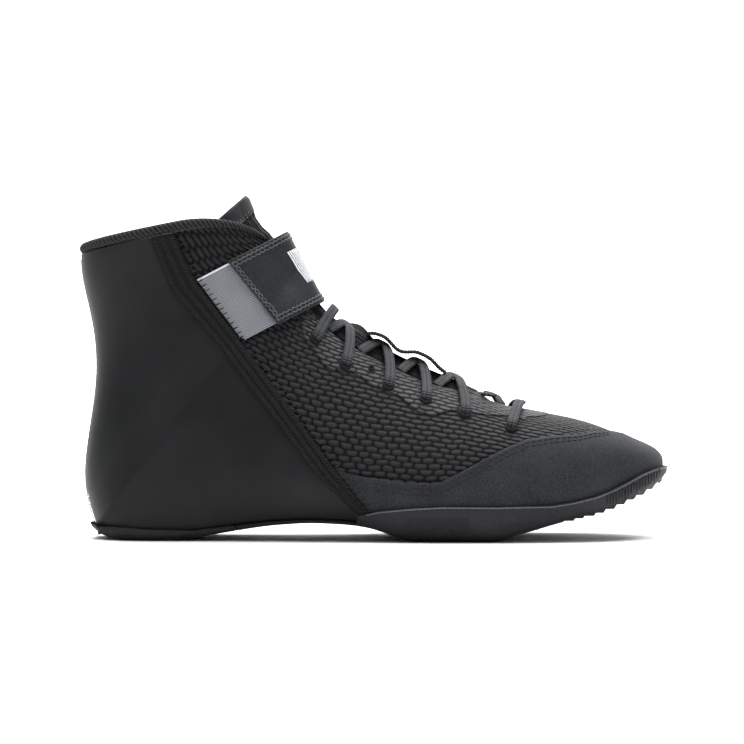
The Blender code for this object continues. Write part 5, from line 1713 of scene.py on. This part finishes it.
class Laces(Maker):
    """The flat woven lace and the webbing keeper on the tongue."""

    def strand(self, start: tuple, end: tuple, side: int, rows: tuple, lean: float = 0.0) -> Cord:
        """One run from an eyelet to the eyelet across, with its middle moved by lean stations."""
        points, ups = [], []
        for across, lift in rows:
            part = ((across + 1) / 2) ** 1.4
            station = start[0] + (end[0] - start[0]) * part + lean * (1 - abs(across))
            here = side if across < 0 else -side
            share = start[1] if across < 0 else end[1]
            ring = Last(np.array([station]))
            full = (1 - share) * float(ring.upper_arc[0]) / (1 - float(ring.turn[0]))
            reach = full * abs(across)
            edge = float(((1 - throat_share(ring)) * ring.upper_arc / (1 - ring.turn))[0])
            reach = min(reach, edge - LACE_TUCK * (1 if lift < -0.5 else 4)) if lift < 0 else reach
            place = min(float(ring.arc_share(np.array([reach]))[0]), 0.995)
            spot, _, _, normal = shoe_frames(np.array([station]), np.array([place]), here)
            spot, normal = spot[0], normal[0]
            if abs(across) < 0.01:
                spot[1] = float(ring.crest_y[0]) + LAST_ORIGIN[1]
                normal[1] = 0.0
            if abs(across) == 1.0:
                points.append(spot - normal * 0.0035)
                ups.append(normal)
            points.append(spot + normal * (lift * LACE_RISE + LACE_THICKNESS / 2))
            ups.append(normal)
        if rows[-1][0] == 1.0:
            points[-1], points[-2] = points[-2], points[-1]
        points, ups = np.array(points), np.array(ups)
        index = np.arange(len(points), dtype=float)
        at = np.linspace(0, len(points) - 1, 70)
        line = [hermite(index, c, spline_slopes(c), at) for c in points.T]
        over = [hermite(index, c, spline_slopes(c), at) for c in ups.T]
        return Cord(
            np.stack(line, axis=1), unit(np.stack(over, axis=1)), LACE_WIDTH / 2,
            LACE_THICKNESS / 2, 0.62, 0.035, 1.1, 0.0,
        )

    def build(self) -> None:
        """Makes every strand and the keeper."""
        holes = [place_on_side(row) for row in EYELETS]
        self.tie("lace_bottom", self.strand(holes[-1], holes[-1], -1, BAR, BAR_LEAN), ["lace_bar"])
        self.tie("lace_top_run", self.strand(holes[0], holes[0], -1, TOP), ["lace_top"])
        for number in range(len(holes) - 1):
            low, high = holes[number + 1], holes[number]
            rows = TUCKED if low is holes[-1] else STRAND
            for side, name in ((-1, "over"), (1, "under")):
                node = [f"lace_cross_{number + 1}"] if side < 0 else []
                self.tie(f"lace_{number + 1}_{name}", self.strand(low, high, side, rows), node)
        self.keeper()

    def tie(self, name: str, cord: Cord, replaces: Sequence[str]) -> None:
        """Makes one run of the lace as a piece."""
        cord.build(name, self.finishes.lace, "lace", 120, 18, replaces)

    def keeper(self) -> None:
        """Makes the webbing that the lace passes through."""
        rows = np.array([(row.along * LENGTH, row.up * SHAFT_HEIGHT) for row in KEEPER_LINE])
        index = np.arange(len(rows), dtype=float)
        at = np.linspace(0, len(rows) - 1, 90)
        x, z = (hermite(index, c, spline_slopes(c), at) for c in rows.T)
        line = np.stack([x + LAST_ORIGIN[0], np.full(90, LAST_ORIGIN[1]), z], axis=1)
        tangent = unit(np.gradient(line, axis=0))
        up = np.stack([-tangent[:, 2], np.zeros(90), tangent[:, 0]], axis=1)
        cord = Cord(line, up, 0.0065, 0.0009, 0.3, 0.12, 1.4, 0.0)
        cord.build("lace_webbing", self.finishes.lace, "lace", 160, 20, ["lace_keeper"])


class Insole(Maker):
    """The loose footbed."""

    def place(self, a: np.ndarray, b: np.ndarray) -> tuple:
        """Places the footbed's face."""
        low, high = INSOLE_ENDS
        at = low + (high - low) * a
        last = Last(at)
        ends = np.clip(np.minimum(a, 1 - a) / 0.03, 0, 1)
        half = last.foot - (UPPER_WALL + 0.0024) - 0.004 * (1 - np.sqrt(1 - (1 - ends) ** 2))
        across = 2 * b - 1
        x = last.base_x + LAST_ORIGIN[0]
        y = last.base_y + LAST_ORIGIN[1] + across * half
        z = plate_top(last.base_x / LENGTH) + 2 * GAP + INSOLE_THICKNESS
        points = np.stack([x, y, z], axis=1)
        return points, np.zeros(len(a)), np.stack([x / MM, y / MM], axis=1)

    def build(self) -> None:
        """Makes the footbed."""
        skin = Skin("footbed")
        skin.add(120, 30, self.place, flip=True)
        skin.piece(self.finishes.lining, "insole_cloth", replaces=["insole"], wall=INSOLE_THICKNESS)


class SoleMarks(Maker):
    """What is moulded on the sole's walls: the rim beads, toe ribs, hatching, dashes and knurl; the
    beads' pale colour is a painted highlight.
    """

    # The toe's first and last rib and their pitch, in millimetres from the heel
    rib_places = (252.5, 284.5, 1.5)
    # Of the fields: two corners, the pitch, a mark's length and width, its turn and its depth
    fields = (
        ((157, 2.6), (186, 11.5), 2.2, (2.2, 0.4), 45.0, 0.4),
        ((157, 2.6), (186, 11.5), 2.2, (2.2, 0.4), -45.0, 0.4),
        ((200, 6.2), (221, 11.0), 2.4, (1.7, 0.5), 0.0, 0.35),
        ((9.0, 5.0), (20.0, 8.0), 1.3, (0.8, 0.5), 45.0, 0.4),
    )

    def __init__(self, finishes: Finishes, walls: Sequence[bpy.types.Object]) -> None:
        """Keeps the finishes and a tree of each wall's faces."""
        super().__init__(finishes)
        self.trees = []
        for wall in walls:
            mesh = bmesh.new()
            mesh.from_mesh(wall.data)
            self.trees.append(BVHTree.FromBMesh(mesh))
            mesh.free()

    def meet(self, spots: np.ndarray, side: Side) -> tuple:
        """Finds where side view spots meet the walls.

        Args:
            spots: Places along and up, in millimetres from the heel and the ground.
            side: The side they are seen from.

        Returns:
            The points on the walls, the way up them and the way out.
        """
        points, outs = [], []
        for x, z in spots:
            start = Vector((x * MM + LAST_ORIGIN[0], side.value * 0.2, z * MM))
            hits = [tree.ray_cast(start, Vector((0, -side.value, 0))) for tree in self.trees]
            near = min((hit for hit in hits if hit[0]), key=lambda hit: hit[3], default=None)
            if near and abs(near[1].y) > 0.2:
                points.append(near[0])
                outs.append(near[1])
        points, outs = np.array(points).reshape(-1, 3), np.array(outs).reshape(-1, 3)
        up = np.array([[0.0, 0.0, 1.0]]) - outs * outs[:, 2:]
        return points, unit(up), outs

    def grid(self, low: tuple, high: tuple, pitch: float) -> np.ndarray:
        """Staggered spots between two corners, in millimetres."""
        rows = []
        for number, z in enumerate(np.arange(low[1], high[1], pitch / 2)):
            start = low[0] + pitch / 2 * (number % 2)
            rows += [(x, z) for x in np.arange(start, high[0], pitch)]
        return np.array(rows)

    def ribs(self, threads: Threads, side: Side) -> None:
        """Lays upright ribs on the toe's wall, each from the rim down to the edge."""
        for x in np.arange(*self.rib_places):
            column = np.stack([np.full(120, x), np.linspace(2, 50, 120)], axis=1)
            points, _, outs = self.meet(column, side)
            wall = (np.abs(outs[:, 2]) < 0.85) & (np.abs(outs[:, 1]) > 0.45)
            if wall.sum() > 4:
                points, outs = points[wall], outs[wall]
                middle = len(points) // 2
                length = float(np.ptp(points[:, 2])) / MM
                up = unit(points[-1:] - points[:1])
                threads.row(points[middle][None], up, outs[middle][None], (length, 0.8), sink=0.35)

    def beads(self) -> None:
        """Sweeps the thin bead along the top of the forefoot's wall, in a pale colour that is a
        painted highlight.
        """
        skin = Skin("rim_highlight_beads")
        at = np.linspace(0.03, 7.6, 300)
        share = CURVES.read(CURVES.rim, at)
        for side in Side:
            points, _, over, normal = shoe_frames(at, share, side.value)
            line = points + normal * (STACK + RUBBER_WALL - 0.0002) - over * 0.0004
            skin.add(300, 6, Cord(line, normal, 0.0004, 0.0004, 1.0, 0.1, 0.8, 0.0).place)
        # The pale finish here is a painted highlight along the rubber's rim.
        skin.piece(self.finishes.bead, "rubber")

    def build(self) -> None:
        """Makes the marks on both sides."""
        threads = Threads("sole_marks", self.finishes.rubber, "rubber")
        for side in Side:
            self.ribs(threads, side)
            for low, high, pitch, size, turn, sink in self.fields:
                points, up, outs = self.meet(self.grid(low, high, pitch), side)
                threads.row(points, up, outs, size, turn, sink=sink)
        threads.build()
        self.beads()


PHOTO_PIXELS = 744
METRES_PER_PIXEL = 0.00049
CAMERA_AWAY = 1.35
SENSOR_MM = 36.0
WORLD_STRENGTH = 0.18
Lamp = namedtuple("Lamp", "name spot size power")
LAMPS = (
    Lamp("key", (-0.9, -1.2, 1.6), 1.2, 5.5),
    Lamp("fill", (1.5, -1.0, 1.0), 1.2, 3.0),
    Lamp("top", (0.1, 0.4, 2.0), 2.4, 130.0),
    Lamp("wall", (0.0, 1.6, 2.4), 2.6, 300.0),
)


def build_sweep() -> None:
    """The pale floor that sweeps up behind the shoe."""
    mesh = bmesh.new()
    line = [mesh.verts.new((-6, -4, 0)), mesh.verts.new((-6, 3.2, 0))]
    for i in range(1, 13):
        turn = i / 12 * math.pi / 2
        line.append(mesh.verts.new((-6, 3.2 + 1.6 * math.sin(turn), 1.6 - 1.6 * math.cos(turn))))
    line.append(mesh.verts.new((-6, 4.8, 6)))
    edges = [mesh.edges.new(pair) for pair in zip(line, line[1:])]
    new = bmesh.ops.extrude_edge_only(mesh, edges=edges)["geom"]
    far = [item for item in new if isinstance(item, bmesh.types.BMVert)]
    bmesh.ops.translate(mesh, verts=far, vec=(12, 0, 0))
    bmesh.ops.recalc_face_normals(mesh, faces=mesh.faces[:])
    data = bpy.data.meshes.new("paper_sweep")
    mesh.to_mesh(data)
    mesh.free()
    paper = bpy.data.materials.new("white_paper")
    paper.use_nodes = True
    shader = paper.node_tree.nodes["Principled BSDF"]
    shader.inputs["Base Color"].default_value = linear("#f4f4f4")
    shader.inputs["Roughness"].default_value = 0.9
    data.materials.append(paper)
    for face in data.polygons:
        face.use_smooth = True
    sweep = bpy.data.objects.new("paper_sweep", data)
    bpy.context.scene.collection.objects.link(sweep)


def build_studio() -> None:
    """The sweep, the soft lamps, and the camera where the photograph's stood."""
    build_sweep()
    for name, spot, size, power in LAMPS:
        light = bpy.data.lights.new(name, "AREA")
        light.size = size
        light.energy = power
        lamp = bpy.data.objects.new(name, light)
        lamp.location = spot
        aim = Vector((0, 4.8, 1.2) if name == "wall" else (0, 0, 0.07)) - Vector(spot)
        lamp.rotation_euler = aim.to_track_quat("-Z", "Y").to_euler()
        bpy.context.scene.collection.objects.link(lamp)
    world = bpy.data.worlds.new("studio_air")
    world.use_nodes = True
    world.node_tree.nodes["Background"].inputs["Color"].default_value = (1, 1, 1, 1)
    world.node_tree.nodes["Background"].inputs["Strength"].default_value = WORLD_STRENGTH
    bpy.context.scene.world = world
    bpy.context.scene.view_settings.view_transform = "Standard"
    camera = bpy.data.cameras.new("camera")
    camera.sensor_width = SENSOR_MM
    camera.lens = SENSOR_MM * CAMERA_AWAY / (PHOTO_PIXELS * METRES_PER_PIXEL)
    eye = bpy.data.objects.new("camera", camera)
    eye.location = (0.1401 + LAST_ORIGIN[0], -CAMERA_AWAY, 0.08106)
    eye.rotation_euler = (math.pi / 2, 0, 0)
    bpy.context.scene.collection.objects.link(eye)
    bpy.context.scene.camera = eye


def main() -> None:
    """Builds every piece of the shoe in order."""
    logging.basicConfig(level=logging.INFO, format="%(message)s")
    finishes = Finishes()
    Upper(finishes).build()
    Eyelets(finishes).build()
    HeelShell(finishes).build()
    OverlockSeam(finishes).build()
    ToeWrap(finishes).build()
    ToeStitching(finishes).build()
    CollarBinding(finishes).build()
    Tongue(finishes).build()
    Strap(finishes).build()
    Laces(finishes).build()
    Insole(finishes).build()
    fore = Cup("forefoot_rubber", "outsole_forefoot", 0.0, 7.75, True, finishes.rubber, "rubber",
               rows=400, ribs=True).build()
    heel = Cup("heel_rubber", "outsole_heel", 10.15, 13.42, True, finishes.rubber, "rubber").build()
    SoleMarks(finishes, (fore, heel)).build()
    Cup("arch_cover", "arch_panel", 7.77, 10.13, False, finishes.synthetic, "synthetic").build()
    build_studio()


if __name__ == "__main__":
    main()
